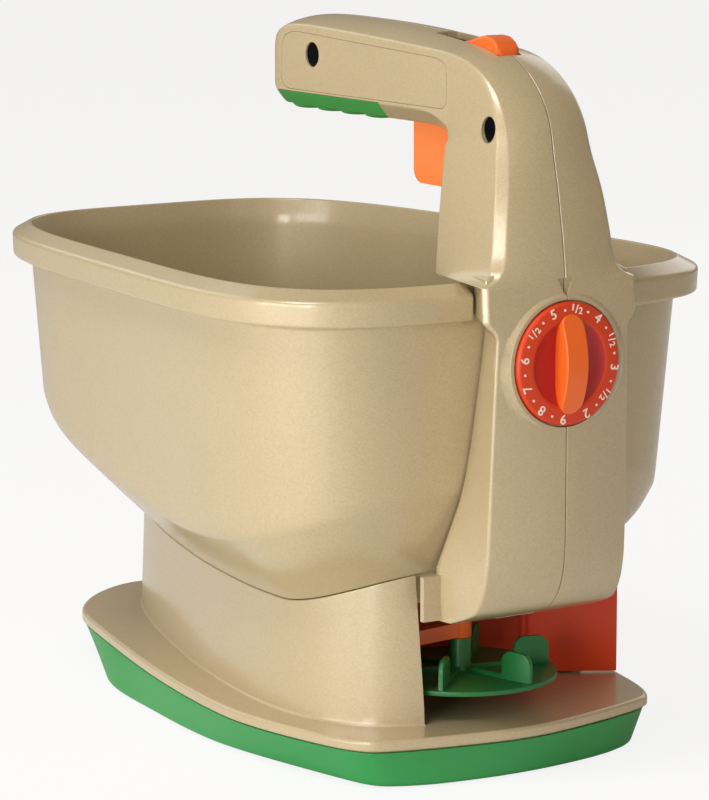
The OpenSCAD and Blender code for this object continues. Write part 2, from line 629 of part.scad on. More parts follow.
// Torsion spring round the pin: a coil of wire as one tube
coil_turns = 3;
wire_d = 0.8;
module trigger_spring() {
    n = coil_turns * 12;
    rc = trig_pin_d / 2 + 0.5 + wire_d / 2;
    ring = function (i) let (a = 360 * i / 12, x = 5.9 + wire_d / 2 + i / 12 * 0.85)
        [for (b = [0:60:300]) [x + wire_d / 2 * cos(b), pin_y + (rc + wire_d / 2 * sin(b)) * cos(a),
                               pin_z + (rc + wire_d / 2 * sin(b)) * sin(a)]];
    r0 = ring(0);
    r1 = ring(n);
    color(steel_c) loft([for (i = [0:n]) ring(i)],
        [r0[0][0] - wire_d / 2, r0[0][1] - wire_d / 2 * 0, pin_z],
        [r1[0][0] - wire_d / 2, pin_y + rc, pin_z]);
}

// Pull rod between trigger and gate
rod_w = 2.2;
pin_in_r = 37.5;
gate_pin_r = 1.8;
gate_pin_z = floor_z - 2.2;
rod_drop = trig_arm * sin(trig_travel);
swing = pin_in_r * tan(gate_turn / 2);
plate_y = spin_y - pin_in_r;
module pull_rod() {
    color("#D8D6CE") difference() {
        union() {
            block(-rod_w, rod_w, rod_y - 3, rod_y + 4, 82, pin_z + 4.8);
            block(-rod_w, rod_w, rod_y - 4.6, rod_y + 4, pin_z - 8, pin_z + 4.8);
            block(-rod_w, rod_w, rod_y - 3, plate_y + 1.2, 80, 87);
            block(-swing - 5, swing + 5, plate_y - 1.2, plate_y + 1.2, gate_pin_z - 4, 87);
        }
        block(-5, 5, rod_y - 2.9, rod_y + 10, pin_z - 2.2 - gap / 2, pin_z + 2.2 + gap / 2);
        translate([0, plate_y, 0]) rotate([90, 0, 0]) translate([0, 0, -5]) linear_extrude(10) {
            w = gate_pin_r + gap;
            for (s = [-1, 1]) translate([s * swing, gate_pin_z + rod_drop * (s + 1) / 2]) circle(r = w);
            polygon(let (d = [2 * swing, rod_drop], l = norm(d), nx = -d[1] / l * w, ny = d[0] / l * w)
                [[-swing + nx, gate_pin_z + ny], [-swing - nx, gate_pin_z - ny],
                 [swing - nx, gate_pin_z + rod_drop - ny], [swing + nx, gate_pin_z + rod_drop + ny]]);
        }
    }
}

// Flow gate under the hopper's floor
hub_top = disc_z + disc_t + 13.5;
module flow_gate() {
    color(orange_c) difference() {
        union() {
            translate([0, spin_y, hub_top + 0.3]) cylinder(r = 4.8, h = floor_z - 0.5 - hub_top - 0.3);
            translate([0, 0, floor_z - 3.7]) linear_extrude(3.2) difference() {
                union() {
                    translate([0, spin_y]) sector(3.5, port_r1 + 3, 44, 124);
                    translate([0, spin_y]) rotate(-90 - gate_turn / 2) translate([3.6, -4.5])
                        square([pin_in_r - 7, 9]);
                }
                translate([0, spin_y]) rotate(-gate_turn) translate([0, -spin_y]) ports();
            }
            rotate_spin(-90 - gate_turn / 2) translate([pin_in_r - 6, 0, gate_pin_z]) rotate([0, 90, 0])
                cylinder(r = gate_pin_r, h = 10);
            rotate_spin(188) translate([3.6, -2.5, hub_top + 0.5]) cube([31, 5, 6]);
        }
        translate([0, spin_y, hub_top - 1]) cylinder(r = boss_r + 0.06, h = 60);
    }
}

// Spinner
module spinner() {
    color(green_c) translate([0, spin_y, 0]) difference() {
        union() {
            translate([0, 0, disc_z]) cylinder(r = disc_r, h = disc_t, $fn = 96);
            translate([0, 0, disc_z]) cylinder(r = hub_r, h = hub_top - disc_z);
            for (i = [0:vane_count - 1]) rotate(-16 + 360 / vane_count * i)
                translate([0, 0.9, disc_z + disc_t - 0.2]) rotate([90, 0, 0]) linear_extrude(1.8) {
                    x0 = disc_r - 1.6 - vane_l;
                    translate([x0, 0]) square([vane_l, vane_h - 5]);
                    translate([x0 + 5, 0]) square([vane_l - 10, vane_h]);
                    for (x = [x0 + 5, x0 + vane_l - 5]) translate([x, vane_h - 5]) circle(r = 5);
                    translate([hub_r - 1, 0]) square([disc_r - hub_r - vane_l, 2]);
                }
        }
        translate([0, 0, disc_z + 1.4]) cylinder(r = shaft_d / 2, h = 60);
    }
}

module drive_shaft() {
    color(steel_c) translate([0, spin_y, disc_z + 1.4])
        cylinder(r = shaft_d / 2, h = motor_z + motor_h + 1 - disc_z - 1.4);
}

module motor() {
    color("#9AA0A6") translate([0, spin_y, motor_z]) difference() {
        union() {
            cylinder(r = motor_r, h = motor_h - 4);
            cylinder(r = motor_r - 2.5, h = motor_h);
            translate([0, 0, -1.5]) cylinder(r = 5, h = 3);
        }
        translate([0, 0, -5]) cylinder(r = shaft_d / 2 + run_c, h = motor_h + 20);
        for (x = [-8, 8]) translate([x, 0, -1]) cylinder(r = 1.25, h = 6);
    }
}

module motor_screws() {
    color(steel_c) for (x = [-8, 8]) translate([x, spin_y, 0]) {
        translate([0, 0, floor_z - 1.8]) cylinder(r = 2.3, h = 1.8);
        translate([0, 0, floor_z - 1]) cylinder(r = 1.2, h = floor_t + 4.5);
    }
}

// Dial
module dial() {
    y0 = nose_y + 2;
    color(orange_c) difference() {
        union() {
            translate([0, y0, dial_z]) rotate([90, 0, 0]) rotate_extrude($fn = 96)
                polygon([[0, 0], [dial_r, 0], [dial_r, 2.8], [dial_r - 0.9, 3.6], [dial_r * 0.72, 4.2],
                         [dial_r * 0.68, 2.6], [dial_r * 0.3, 2.2], [0, 2.2]]);
            intersection() {
                translate([0, y0, dial_z]) rotate([90, 0, 0]) linear_extrude(10) intersection() {
                    translate([34, 0]) circle(r = 40, $fn = 96);
                    translate([-34, 0]) circle(r = 40, $fn = 96);
                }
                along_x(-20, 20, y0 + 16, dial_z, 25.5);
            }
            along_y(y0 - 1, y0 + 7, 0, dial_z, spindle_d / 2);
        }
        along_y(y0, y0 + 20, 0, dial_z, 1.45);
    }
}

cam_y = nose_y + 9;
module rate_cam() {
    color("#E6E4DC") difference() {
        along_y(cam_y, cam_y + 2, 0, dial_z, 9);
        along_y(cam_y - 1, cam_y + 3, 0, dial_z, 1.5);
        translate([5, cam_y - 1, dial_z - 20]) rotate([0, 20, 0]) cube([20, 4, 60]);
    }
}

module dial_screw() {
    color(steel_c) {
        along_y(cam_y + 2, cam_y + 3.8, 0, dial_z, 3);
        along_y(nose_y + 3, cam_y + 2.5, 0, dial_z, 1.4);
    }
}

// Top slider and its switch
module power_slider() {
    y = slide_y;
    z = corner_z + handle_h - 38;
    color(orange_c) {
        side_plate(-slot_w + 0.4, slot_w - 0.4)
            polygon([[y - 23.4, z + 34], [y - 23.4, z + 39], [y - 21.4, z + 41.8], [y - 17.5, z + 43.8],
                     [y - 9, z + 43.4], [y - 2, z + 41], [y + 7.6, z + 40.4], [y + 7.6, z + 34]]);
        block(-9, 9, y - 12, y + 6, z + 33.2, z + 35.6);
        block(-1, 1, y - 4.5, y - 2.5, z + 26, z + 34);
    }
}

module power_switch() {
    y = slide_y;
    z = corner_z + handle_h - 38;
    color(dark_c) difference() {
        block(-5, 5, y - 9.6, y + 10, z + 20, z + 32);
        block(-1.6, 1.6, y - 5.2, y + 8.5, z + 25, z + 40);
    }
}

// Cells in the handle, two by two, with their contact strips
module batteries() {
    zc = corner_z + inner_r + handle_h / 2 - 0.6;
    color("#3A6EA5") for (x = [-1, 1]) for (z = [-1, 1])
        translate([x * (cell_d / 2 + 0.05), cell_y1, zc + z * (cell_d / 2 + 0.05)]) rotate([90, 0, 0]) {
            cylinder(r = cell_d / 2, h = cell_l - 1.2);
            cylinder(r = 2.7, h = cell_l);
        }
}

module battery_contacts() {
    zc = corner_z + inner_r + handle_h / 2 - 0.6;
    color(steel_c) for (y = [cell_y1 + 0.1, cell_y1 - cell_l - 0.6]) block(-13, 13, y, y + 0.5, zc - 8, zc + 8);
}

base_tray();
pedestal();
hopper();
left_shell();
right_shell();
battery_cover();
grip_insert();
trigger();
trigger_pin();
trigger_spring();
pull_rod();
flow_gate();
deflector();
spinner();
drive_shaft();
motor();
dial();
rate_cam();
power_slider();
power_switch();
batteries();
battery_contacts();
base_screws();
deflector_screws();
tower_screws();
shell_screws();
motor_screws();
dial_screw();
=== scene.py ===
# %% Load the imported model
import math
from collections import namedtuple

import bmesh
import bpy
import numpy as np
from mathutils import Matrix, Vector


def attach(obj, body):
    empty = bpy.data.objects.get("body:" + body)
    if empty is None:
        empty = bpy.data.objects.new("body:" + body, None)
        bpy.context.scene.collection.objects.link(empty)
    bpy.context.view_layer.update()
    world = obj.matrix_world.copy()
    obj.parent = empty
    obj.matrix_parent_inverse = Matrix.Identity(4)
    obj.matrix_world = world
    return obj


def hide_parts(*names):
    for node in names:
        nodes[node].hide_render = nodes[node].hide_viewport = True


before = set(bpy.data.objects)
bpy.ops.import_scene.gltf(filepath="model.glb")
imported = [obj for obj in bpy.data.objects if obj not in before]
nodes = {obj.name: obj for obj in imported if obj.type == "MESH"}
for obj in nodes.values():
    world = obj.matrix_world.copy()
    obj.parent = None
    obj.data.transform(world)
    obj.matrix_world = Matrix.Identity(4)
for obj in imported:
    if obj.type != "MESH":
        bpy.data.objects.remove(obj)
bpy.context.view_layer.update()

# %% [markdown]
# The object is a handheld battery spreader for grass seed. Its solids come
# from the CAD model as a fixed frame. We keep every size in millimetres, as a
# maker would, and turn it to metres at the last moment with MM. The camera
# stands in front and to the left, a little above the rim. It is far away with a
# long lens, so lines that are parallel on the object stay nearly parallel.

# %% Camera
MM = 0.001
EYE = Vector((-840.1, -1324.2, 397.3)) * MM
AIM = Vector((-18.07, -55.51, 139.1)) * MM

scene = bpy.context.scene
scene.view_settings.view_transform = "Standard"
camera = bpy.data.objects.new("camera", bpy.data.cameras.new("camera"))
scene.collection.objects.link(camera)
camera.data.sensor_width, camera.data.lens = 36, 166.5    # mm
camera.data.clip_end = 20
camera.location = EYE
camera.rotation_euler = (AIM - EYE).to_track_quat("-Z", "Y").to_euler()
scene.camera = camera
print("camera", round((AIM - EYE).length, 3), "m from the object")

# %% [markdown]
# A node tree reads better when every node is made in one way. This one helper
# adds a node, sets its properties, fills its input sockets, and links the
# inputs whose value is another node's output.


# %% Node helper and colours
def add_node(tree, kind, settings=None, **inputs):
    """Add a node. An input is named as in Blender with _ for a space, or i0, i1 by its place."""
    made = tree.nodes.new(kind)
    for name, value in (settings or {}).items():
        setattr(made, name, value)
    for name, value in inputs.items():
        by_place = name[0] == "i" and name[1:].isdigit()
        socket = made.inputs[int(name[1:]) if by_place else name.replace("_", " ")]
        if isinstance(value, bpy.types.NodeSocket):
            tree.links.new(value, socket)
        else:
            socket.default_value = value
    return made


def linear(hex_colour):
    """An sRGB hex colour as the linear RGBA that Blender's sockets hold."""
    parts = [int(hex_colour[i:i + 2], 16) / 255 for i in (1, 3, 5)]
    return [c / 12.92 if c <= 0.04045 else ((c + 0.055) / 1.055) ** 2.4 for c in parts] + [1]


def blank(name):
    made = bpy.data.materials.new(name)
    made.use_nodes = True
    made.node_tree.nodes.clear()
    return made


print("tan in linear:", [round(c, 3) for c in linear("#C8B896")])

# %% [markdown]
# Studio light. A big soft box on the left and a narrow one nearer the camera
# light every surface that looks that way and leave the front darker, which
# shows the form. One from above draws the rims, and weak ones from the front,
# the back and the right fill the shadows.


# %% Lights
LIT = Vector((0, -0.05, 0.14))    # every lamp looks at the object's middle


def soft_box(name, place, size, power):
    """An area lamp: place and size in metres, power in watts."""
    data = bpy.data.lights.new(name, "AREA")
    data.shape, data.size, data.size_y, data.energy = "RECTANGLE", size[0], size[1], power
    lamp = bpy.data.objects.new(name, data)
    scene.collection.objects.link(lamp)
    lamp.location = place
    lamp.visible_camera = False
    lamp.rotation_euler = (LIT - lamp.location).to_track_quat("-Z", "Y").to_euler()


soft_box("key_left", (-1.35, -0.15, 0.22), (0.8, 0.8), 9)
soft_box("low_left", (-1.18, -0.86, 0.18), (0.34, 0.8), 8.5)
soft_box("fill_front", (-0.4, -1.9, 0.9), (1.2, 1.2), 2.5)
soft_box("fill_back", (-0.5, 1.7, 1.3), (1.2, 1.2), 4)
soft_box("fill_right", (1.4, 0.7, 0.9), (1.0, 1.0), 3)
soft_box("top_left", (-0.75, -0.25, 1.45), (0.6, 0.6), 10)

# %% [markdown]
# The background is a sheet of white paper. The world is white to the camera and
# an even dim fill to everything else, and the floor shines to the camera, so
# that it fades into the white and keeps only a soft shadow.

# %% World and floor
BASE_LEVEL, PAPER_GLOW = 0.30, 0.85
WHITE = (1, 1, 1, 1)
world = bpy.data.worlds.new("studio")
world.use_nodes = True
scene.world = world
tree = world.node_tree
tree.nodes.clear()
path = add_node(tree, "ShaderNodeLightPath")
seen = add_node(tree, "ShaderNodeMath", {"operation": "MAXIMUM"},
                i0=path.outputs["Is Camera Ray"], i1=path.outputs["Is Transmission Ray"])
dim = add_node(tree, "ShaderNodeBackground", Color=linear("#FFEFD9"), Strength=BASE_LEVEL)
white = add_node(tree, "ShaderNodeBackground", Color=WHITE, Strength=1.0)
mixed = add_node(tree, "ShaderNodeMixShader", Fac=seen.outputs[0], i1=dim.outputs[0], i2=white.outputs[0])
add_node(tree, "ShaderNodeOutputWorld", Surface=mixed.outputs[0])

bpy.ops.mesh.primitive_plane_add(size=14, location=(0, 0, -0.0005))
floor = bpy.context.object
floor.name = "floor"
paper = blank("white_paper")
tree = paper.node_tree
path = add_node(tree, "ShaderNodeLightPath")
sheet = add_node(tree, "ShaderNodeBsdfDiffuse", Color=(0.9, 0.9, 0.9, 1))
glow = add_node(tree, "ShaderNodeEmission", Color=WHITE, Strength=1.0)
share = add_node(tree, "ShaderNodeMath", {"operation": "MULTIPLY"},
                 i0=path.outputs["Is Camera Ray"], i1=PAPER_GLOW)
both = add_node(tree, "ShaderNodeMixShader", Fac=share.outputs[0], i1=sheet.outputs[0], i2=glow.outputs[0])
add_node(tree, "ShaderNodeOutputMaterial", Surface=both.outputs[0])
floor.data.materials.append(paper)
print("world:", world.name, "floor:", paper.name)

# %% [markdown]
# Most of the body is ABS plastic moulded with a fine metal flake, so it looks
# like champagne paint: a satin sheen with specks that catch the light. One
# recipe serves every moulded plastic here. It takes a colour, a roughness and
# a flake strength, and adds the fine grain that a mould leaves.


# %% Moulded plastics
GRAIN = 0.5 * MM    # a flake is about 0.1 mm, drawn coarser so that it shows
CLOUD = 60 * MM    # slow change of colour where the melt flowed
GRIT = 0.6 * MM    # spark texture of the mould, drawn coarser so that it shows
GRIT_DEPTH, GRIT_GLOSS = 0.1 * MM, 0.12
SHADE = 0.08    # how much the colour changes over a cloud


def moulded(name, colour, rough, flake=0.0, metal=0.0, coat=0.0):
    """Moulded plastic: a colour with slow clouds, flakes, and a fine grit in gloss and relief."""
    made = blank(name)
    tree = made.node_tree
    base = linear(colour)
    place = add_node(tree, "ShaderNodeTexCoord").outputs["Object"]
    specks = add_node(tree, "ShaderNodeTexVoronoi", Vector=place, Scale=1 / GRAIN)
    cloud = add_node(tree, "ShaderNodeTexNoise", Vector=place, Scale=1 / CLOUD, Detail=3)
    grit = add_node(tree, "ShaderNodeTexNoise", Vector=place, Scale=1 / GRIT, Detail=2)
    tone = add_node(tree, "ShaderNodeMath", {"operation": "MULTIPLY_ADD"},
                    i0=cloud.outputs["Fac"], i1=SHADE, i2=1 - SHADE / 2)
    speck = add_node(tree, "ShaderNodeSeparateColor", Color=specks.outputs["Color"])
    spark = add_node(tree, "ShaderNodeMath", {"operation": "MULTIPLY_ADD"},
                     i0=speck.outputs[0], i1=flake, i2=-flake / 2)
    level = add_node(tree, "ShaderNodeMath", {"operation": "ADD"}, i0=tone.outputs[0], i1=spark.outputs[0])
    paint = add_node(tree, "ShaderNodeVectorMath", {"operation": "SCALE"},
                     i0=base[:3], Scale=level.outputs[0])
    gloss = add_node(tree, "ShaderNodeMath", {"operation": "MULTIPLY_ADD"},
                     i0=grit.outputs["Fac"], i1=GRIT_GLOSS, i2=rough - GRIT_GLOSS / 2)
    relief = add_node(tree, "ShaderNodeBump", Strength=0.06, Distance=GRIT_DEPTH, Height=grit.outputs["Fac"])
    skin = add_node(tree, "ShaderNodeBsdfPrincipled", Base_Color=paint.outputs[0], Metallic=metal,
                    Roughness=gloss.outputs[0], IOR=1.53, Coat_Weight=coat, Coat_Roughness=0.17,
                    Normal=relief.outputs[0])
    add_node(tree, "ShaderNodeOutputMaterial", Surface=skin.outputs[0])
    return made


# Metal-flake ABS under a clear coat: a satin champagne sheen with fine specks.
champagne = moulded("champagne_flake_abs", "#BDAB86", 0.42, flake=0.14, metal=0.12, coat=1.0)
# Plain ABS from a smooth mould: an even leaf green with soft highlights.
green = moulded("green_abs", "#2B9348", 0.36)
# Acetal, a dense and slippery plastic: a darker green that looks a little waxy.
deep_green = moulded("deep_green_pom", "#1C7236", 0.4)
# Thermoplastic rubber: nearly matt, so its highlights are wide and dull.
soft_green = moulded("green_soft_grip", "#3C9A48", 0.55)
# Glossy ABS: a full orange with small bright highlights.
orange = moulded("orange_abs", "#F06A22", 0.34)
# ABS with more white in it: an orange that stays light in the shade.
light_orange = moulded("light_orange_abs", "#F58340", 0.36)
# ABS with a spark texture: a red orange with a quiet surface.
red_orange = moulded("red_orange_abs", "#D43A08", 0.48)
# Unfilled nylon: a milky off-white, half matt.
nylon = moulded("natural_nylon", "#DAD6CA", 0.5)
# Black ABS: soft dark grey where light falls on it. It is also the painted shade
# in the bores behind the handle's screw wells.
black = moulded("black_abs", "#232426", 0.5)
# The printed plastic sleeve of a cell: smooth and a little shiny.
jacket = moulded("cell_jacket", "#3A6EA5", 0.35)
print("plastics:", [m.name for m in bpy.data.materials if "abs" in m.name])

# %% [markdown]
# Screws, spring, shaft and motor can are zinc-plated steel. Plating is bright
# with a faint cloudy bloom, so roughness follows a small noise. The screws in
# the handle's deep wells are black oxide, a near black that paints the shade at
# the bottom of the wells.


# %% Plated steel
BLOOM = 2 * MM    # width of a cloud in the plating
BLOOM_GLOSS = 0.25


def plated(name, colour, rough):
    """Plated metal whose roughness wanders round a value."""
    made = blank(name)
    tree = made.node_tree
    place = add_node(tree, "ShaderNodeTexCoord").outputs["Object"]
    bloom = add_node(tree, "ShaderNodeTexNoise", Vector=place, Scale=1 / BLOOM, Detail=4)
    gloss = add_node(tree, "ShaderNodeMath", {"operation": "MULTIPLY_ADD"},
                     i0=bloom.outputs["Fac"], i1=BLOOM_GLOSS, i2=rough - 0.1)
    skin = add_node(tree, "ShaderNodeBsdfPrincipled", Base_Color=linear(colour), Metallic=1.0,
                    Roughness=gloss.outputs[0])
    add_node(tree, "ShaderNodeOutputMaterial", Surface=skin.outputs[0])
    return made


# Bright zinc: a light bluish grey with a soft glint.
zinc = plated("zinc_plated_steel", "#B8BCC0", 0.32)
# Black oxide: nearly black, with a dull glint on edges; its darkness is painted shade in the wells.
well_shade_oxide = plated("well_shade_oxide_steel", "#26262A", 0.5)
# Drawn steel with thin plating: mid grey with a broad highlight.
can = plated("motor_can_steel", "#9AA0A6", 0.4)
print("metals:", zinc.name, well_shade_oxide.name, can.name)

# %% [markdown]
# The big mouldings are lofts: a list of closed outlines, one above the other,
# joined by faces. A loft made of straight steps has hard edges, and a real
# moulding has none, so each outline gets a radius. We replace the point where
# two straight steps meet by a short curve that starts and ends that far from
# it. With a large radius the curves meet and the surface becomes smooth.


# %% Loft helpers
def bow(start, corner, end, steps):
    """A corner as a short curve from start to end."""
    shares = [k / steps for k in range(steps + 1)]
    return [(1 - f) ** 2 * start + 2 * f * (1 - f) * corner + f * f * end for f in shares]


def round_rings(rings, radii, steps=5):
    """Rings with the edge at each one rounded by its radius in mm; the first and last stay."""
    rings = [np.asarray(r, float) for r in rings]
    done = [rings[0]]
    for i in range(1, len(rings) - 1):
        here, back, ahead = rings[i], rings[i - 1] - rings[i], rings[i + 1] - rings[i]
        if not radii[i]:
            done.append(here)
            continue
        ends = []
        for way in (back, ahead):
            length = np.linalg.norm(way, axis=1, keepdims=True) + 1e-9
            ends.append(here + way * np.minimum(radii[i] / length, 0.499))
        done += bow(ends[0], here, ends[1], steps)
    return done + [rings[-1]]


def new_piece(name, points, faces):
    """A mesh object from points in mm."""
    mesh = bpy.data.meshes.new(name)
    mesh.from_pydata([tuple(float(c) * MM for c in p) for p in points], [], faces)
    mesh.validate()
    piece = bpy.data.objects.new(name, mesh)
    scene.collection.objects.link(piece)
    return piece


def loft(name, rings, first=None, last=None, ring_shaped=False):
    """A closed mesh through rings of equal count, ended by points or joined end to start."""
    n, k = len(rings[0]), len(rings)
    points = [p for ring in rings for p in ring]
    faces = []
    for i in range(k if ring_shaped else k - 1):
        low, high = i * n, (i + 1) % k * n
        faces += [(low + j, low + (j + 1) % n, high + (j + 1) % n, high + j) for j in range(n)]
    for end, base, turn in ((first, 0, -1), (last, (k - 1) * n, 1)):
        if end is not None:
            points.append(end)
            tip = len(points) - 1
            faces += [(base + j, base + (j + 1) % n, tip)[::turn] for j in range(n)]
    return upright(new_piece(name, points, faces))


def prism(name, outline, low, high, axis):
    """A straight block with the outline (pairs in mm) seen along axis 0, 1 or 2."""
    n = len(outline)
    points = [(*p[:axis], level, *p[axis:]) for level in (low, high) for p in outline]
    faces = [tuple(range(n))[::-1], tuple(range(n, 2 * n))]
    faces += [(j, (j + 1) % n, n + (j + 1) % n, n + j) for j in range(n)]
    return upright(new_piece(name, points, faces))


def upright(piece):
    """Turn every face of a closed mesh to look outward."""
    bm = bmesh.new()
    bm.from_mesh(piece.data)
    bmesh.ops.remove_doubles(bm, verts=bm.verts, dist=1e-7)
    bmesh.ops.recalc_face_normals(bm, faces=bm.faces)
    bm.to_mesh(piece.data)
    bm.free()
    return piece


def circle(a, b, radius, count=72):
    turns = [2 * math.pi * i / count for i in range(count)]
    return [(a + radius * math.cos(t), b + radius * math.sin(t)) for t in turns]


def soften(outline, radius, steps=5):
    """A closed outline with rounded corners."""
    p = np.asarray(outline, float)
    done = []
    for i in range(len(p)):
        ends = []
        for other in (p[i - 1], p[(i + 1) % len(p)]):
            way = other - p[i]
            ends.append(p[i] + way * min(radius / np.linalg.norm(way), 0.49))
        done += [tuple(q) for q in bow(ends[0], p[i], ends[1], steps)]
    return done


def spun(name, profile, a, b, axis, count=96):
    """A solid of revolution round an axis through (a, b): profile is radius and level pairs."""
    rings = [[(*p[:axis], level, *p[axis:]) for p in circle(a, b, r, count)] for r, level in profile]
    ends = [(*(a, b)[:axis], level, *(a, b)[axis:]) for level in (profile[0][1], profile[-1][1])]
    return loft(name, rings, *ends)


def rectangle(a0, a1, b0, b1):
    return [(a0, b0), (a1, b0), (a1, b1), (a0, b1)]


print("helpers ready")

# %% [markdown]
# Cut-outs are made the way a toolmaker would: build the full form, then take
# a block away. A Boolean modifier does this, and we apply it at once so that
# the finished mesh is what rides on the body. Last, the surface is shaded
# smooth except across edges sharper than an angle, and large faces lead the
# normals beside a small rounding, so that a flat stays flat up to its edge.


# %% Carving and dressing
def settle(piece):
    """Apply a piece's modifiers to its mesh."""
    graph = bpy.context.evaluated_depsgraph_get()
    done = bpy.data.meshes.new_from_object(piece.evaluated_get(graph))
    piece.modifiers.clear()
    old, piece.data = piece.data, done
    bpy.data.meshes.remove(old)


def carve(piece, *tools, how="DIFFERENCE"):
    """Cut tools out of a piece, or join them on, and throw them away."""
    for tool in tools:
        step = piece.modifiers.new("carve", "BOOLEAN")
        step.operation, step.object, step.solver = how, tool, "EXACT"
        settle(piece)
        bpy.data.objects.remove(tool)


def dress(piece, material, body, slot, *replaced, angle=32):
    """Shade, colour and hang a finished piece on its body."""
    piece.data.materials.clear()
    piece.data.materials.append(material)
    piece.data.shade_smooth()
    piece.data.set_sharp_from_angle(angle=math.radians(angle))
    even = piece.modifiers.new("flats_stay_flat", "WEIGHTED_NORMAL")
    even.keep_sharp = True
    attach(piece, body)
    if replaced:
        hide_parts(*replaced)
    print(piece.name, len(piece.data.polygons), "faces")


# %% [markdown]
# Seen from above, column and hopper are rounded rectangles that narrow toward
# the back. A superellipse gives that outline from two half sizes, two exponents
# (2 is an ellipse, higher is boxier) and a taper. The platform is drawn more
# freely, like a boat's deck: a few points down one side, the mirror image down
# the other, and a smooth curve that follows them. The tray's underside has such
# an outline of its own that stops short of the back.

# %% Plan outlines
AROUND = 256    # points on every plan outline
TURNS = [2 * math.pi * (i + 0.5) / AROUND for i in range(AROUND)]
PLAT_A, PLAT_B = 88, 159.9    # platform: half width and half length
PLAT_SIDE = [(0, -1.008), (0.44, -0.965), (0.73, -0.92), (0.81, -0.885), (0.885, -0.795),
             (0.993, -0.53), (0.995, -0.34), (0.9, 0.06), (0.665, 0.62), (0.575, 0.785),
             (0.325, 0.94), (0, 1.025)]
FOOT_SIDE = [(0, -0.985), (0.43, -0.96), (0.64, -0.92), (0.74, -0.88), (0.79, -0.78),
             (0.92, -0.42), (0.945, -0.22), (0.9, 0.08), (0.83, 0.38), (0.64, 0.57),
             (0.32, 0.645), (0, 0.66)]
PED_A, PED_B, PED_Y = 61.5, 137, -1    # column: half sizes and middle
LIP_A, LIP_B, LIP_Y, LIP_K = 98, 147.6, -2, 0.14    # hopper's lip, with its taper
TRAY_H, PLAT_Z = 16, 20.3    # tops of tray and platform
WALL, SHUT = 2.6, 0.25    # wall of the mouldings, gap where two meet
SEAM_Z, SEAM_RISE = 66, 18    # line between column and hopper, and its rise in front
RIM_Z, RIM_OUT, BAND_H = 200, 7.6, 10.5    # rim band of the hopper
BAND_Z = RIM_Z - 4.3
WALL_Z = BAND_Z - BAND_H
FLOOR_Z, FLOOR_T, FLAT_Y = 69, 3, -60    # hopper's floor, flat in front of FLAT_Y
DRAFT, WALL_IN, LEAN = 2.4, 0.2, 0.065    # draft of the column, lean of the hopper's wall


def power(v, e):
    return math.copysign(abs(v) ** e, v)


def oval(t, a, b, middle, across, along, front, back):
    """A point of a superellipse that tapers by front and back."""
    v = power(math.sin(t), 2 / along)
    return power(math.cos(t), 2 / across) * a * (1 - (front if v < 0 else back) * v), middle + b * v


def side_ring(side, grow, z):
    """The smooth closed curve that follows a half outline and its mirror image."""
    whole = np.array(side + [(-x, y) for x, y in side[-2:0:-1]])
    made = []
    for t in TURNS:
        f, i = math.modf(t / (2 * math.pi) * len(whole))
        a, b, c = (whole[(int(i) + k) % len(whole)] for k in (-1, 0, 1))
        x, y = (1 - f) ** 2 * (a + b) / 2 + 2 * f * (1 - f) * b + f * f * (b + c) / 2
        made.append((x * (PLAT_A + grow), y * (PLAT_B + grow), z))
    return made


def plat_ring(grow, z):
    return side_ring(PLAT_SIDE, grow, z)


def foot_ring(grow, z):
    return side_ring(FOOT_SIDE, grow, z)


def ped_point(t, grow):
    return oval(t, PED_A + grow, PED_B + grow, PED_Y, 3, 3, 0.42, 0.57)


def lip_point(t, grow):
    return oval(t, LIP_A + grow, LIP_B + grow, LIP_Y, 3.93, 4.4, LIP_K, LIP_K)


def seam_at(y):
    return SEAM_Z + SEAM_RISE * max(0, min(1, (-80 - y) / 56)) ** 1.6


def ped_ring(grow, z):
    return [(*ped_point(t, grow), z) for t in TURNS]


def seam_ring(grow, lift):
    return [(x, y, seam_at(y) + lift) for x, y in (ped_point(t, grow - DRAFT) for t in TURNS)]


print("platform", 2 * PLAT_B, "mm long; rim", 2 * (LIP_B + RIM_OUT), "mm long")

# %% [markdown]
# The green tray is the foot. Its sides lean in toward the floor, the stern
# slopes up like a boat's, and the lower edge turns under with a small radius,
# so it meets the table in a soft line.

# %% Green base tray
rings = [foot_ring(-7, 0), foot_ring(-1.2, 0), plat_ring(-1.4, TRAY_H - 1),
         plat_ring(-1.4 - WALL, TRAY_H - 1), foot_ring(-WALL - 1, WALL)]
tray = loft("base_tray_moulding", round_rings(rings, [0, 2.6, 0.5, 0.4, 0]), (0, 0, 0), (0, 0, WALL))
BASE_SCREWS, BASE_WELL_R = ((54, -60), (-54, -60), (42, 40), (-42, 40)), 3.6
carve(tray, *[prism("well", circle(x, y, BASE_WELL_R, 40), -1, 4, 2) for x, y in BASE_SCREWS])
dress(tray, green, "body", "green_plastic", "base_tray")

# %% [markdown]
# Platform and column are one moulding. The platform's edge is a crisp upright
# band over a small step, and the step draws the dark line above the tray. The
# column stands on it with a small fillet, and the chamber for the spinner is
# cut out of its front.

# %% Platform and column
SPIN_Y, CHAMBER_R, MOUTH_X = -107, 45.2, -36
GUIDE_A, GUIDE_L = math.radians(59), 130    # the chamber's straight side on the right
OPEN_Y, OPEN_X = SPIN_Y - 90, 150    # well outside the column


def chamber_outline(r):
    """Round behind the spinner, open to the front and along the guide."""
    start = math.atan2(-math.sqrt(r * r - MOUTH_X * MOUTH_X), MOUTH_X) + 2 * math.pi
    arc = [GUIDE_A + (start - GUIDE_A) * i / 60 for i in range(61)]
    round_part = [(r * math.cos(a), SPIN_Y + r * math.sin(a)) for a in arc]
    end = round_part[0]
    out = (end[0] + GUIDE_L * math.sin(GUIDE_A), end[1] - GUIDE_L * math.cos(GUIDE_A))
    return round_part + [(MOUTH_X, OPEN_Y), (OPEN_X, OPEN_Y), out]


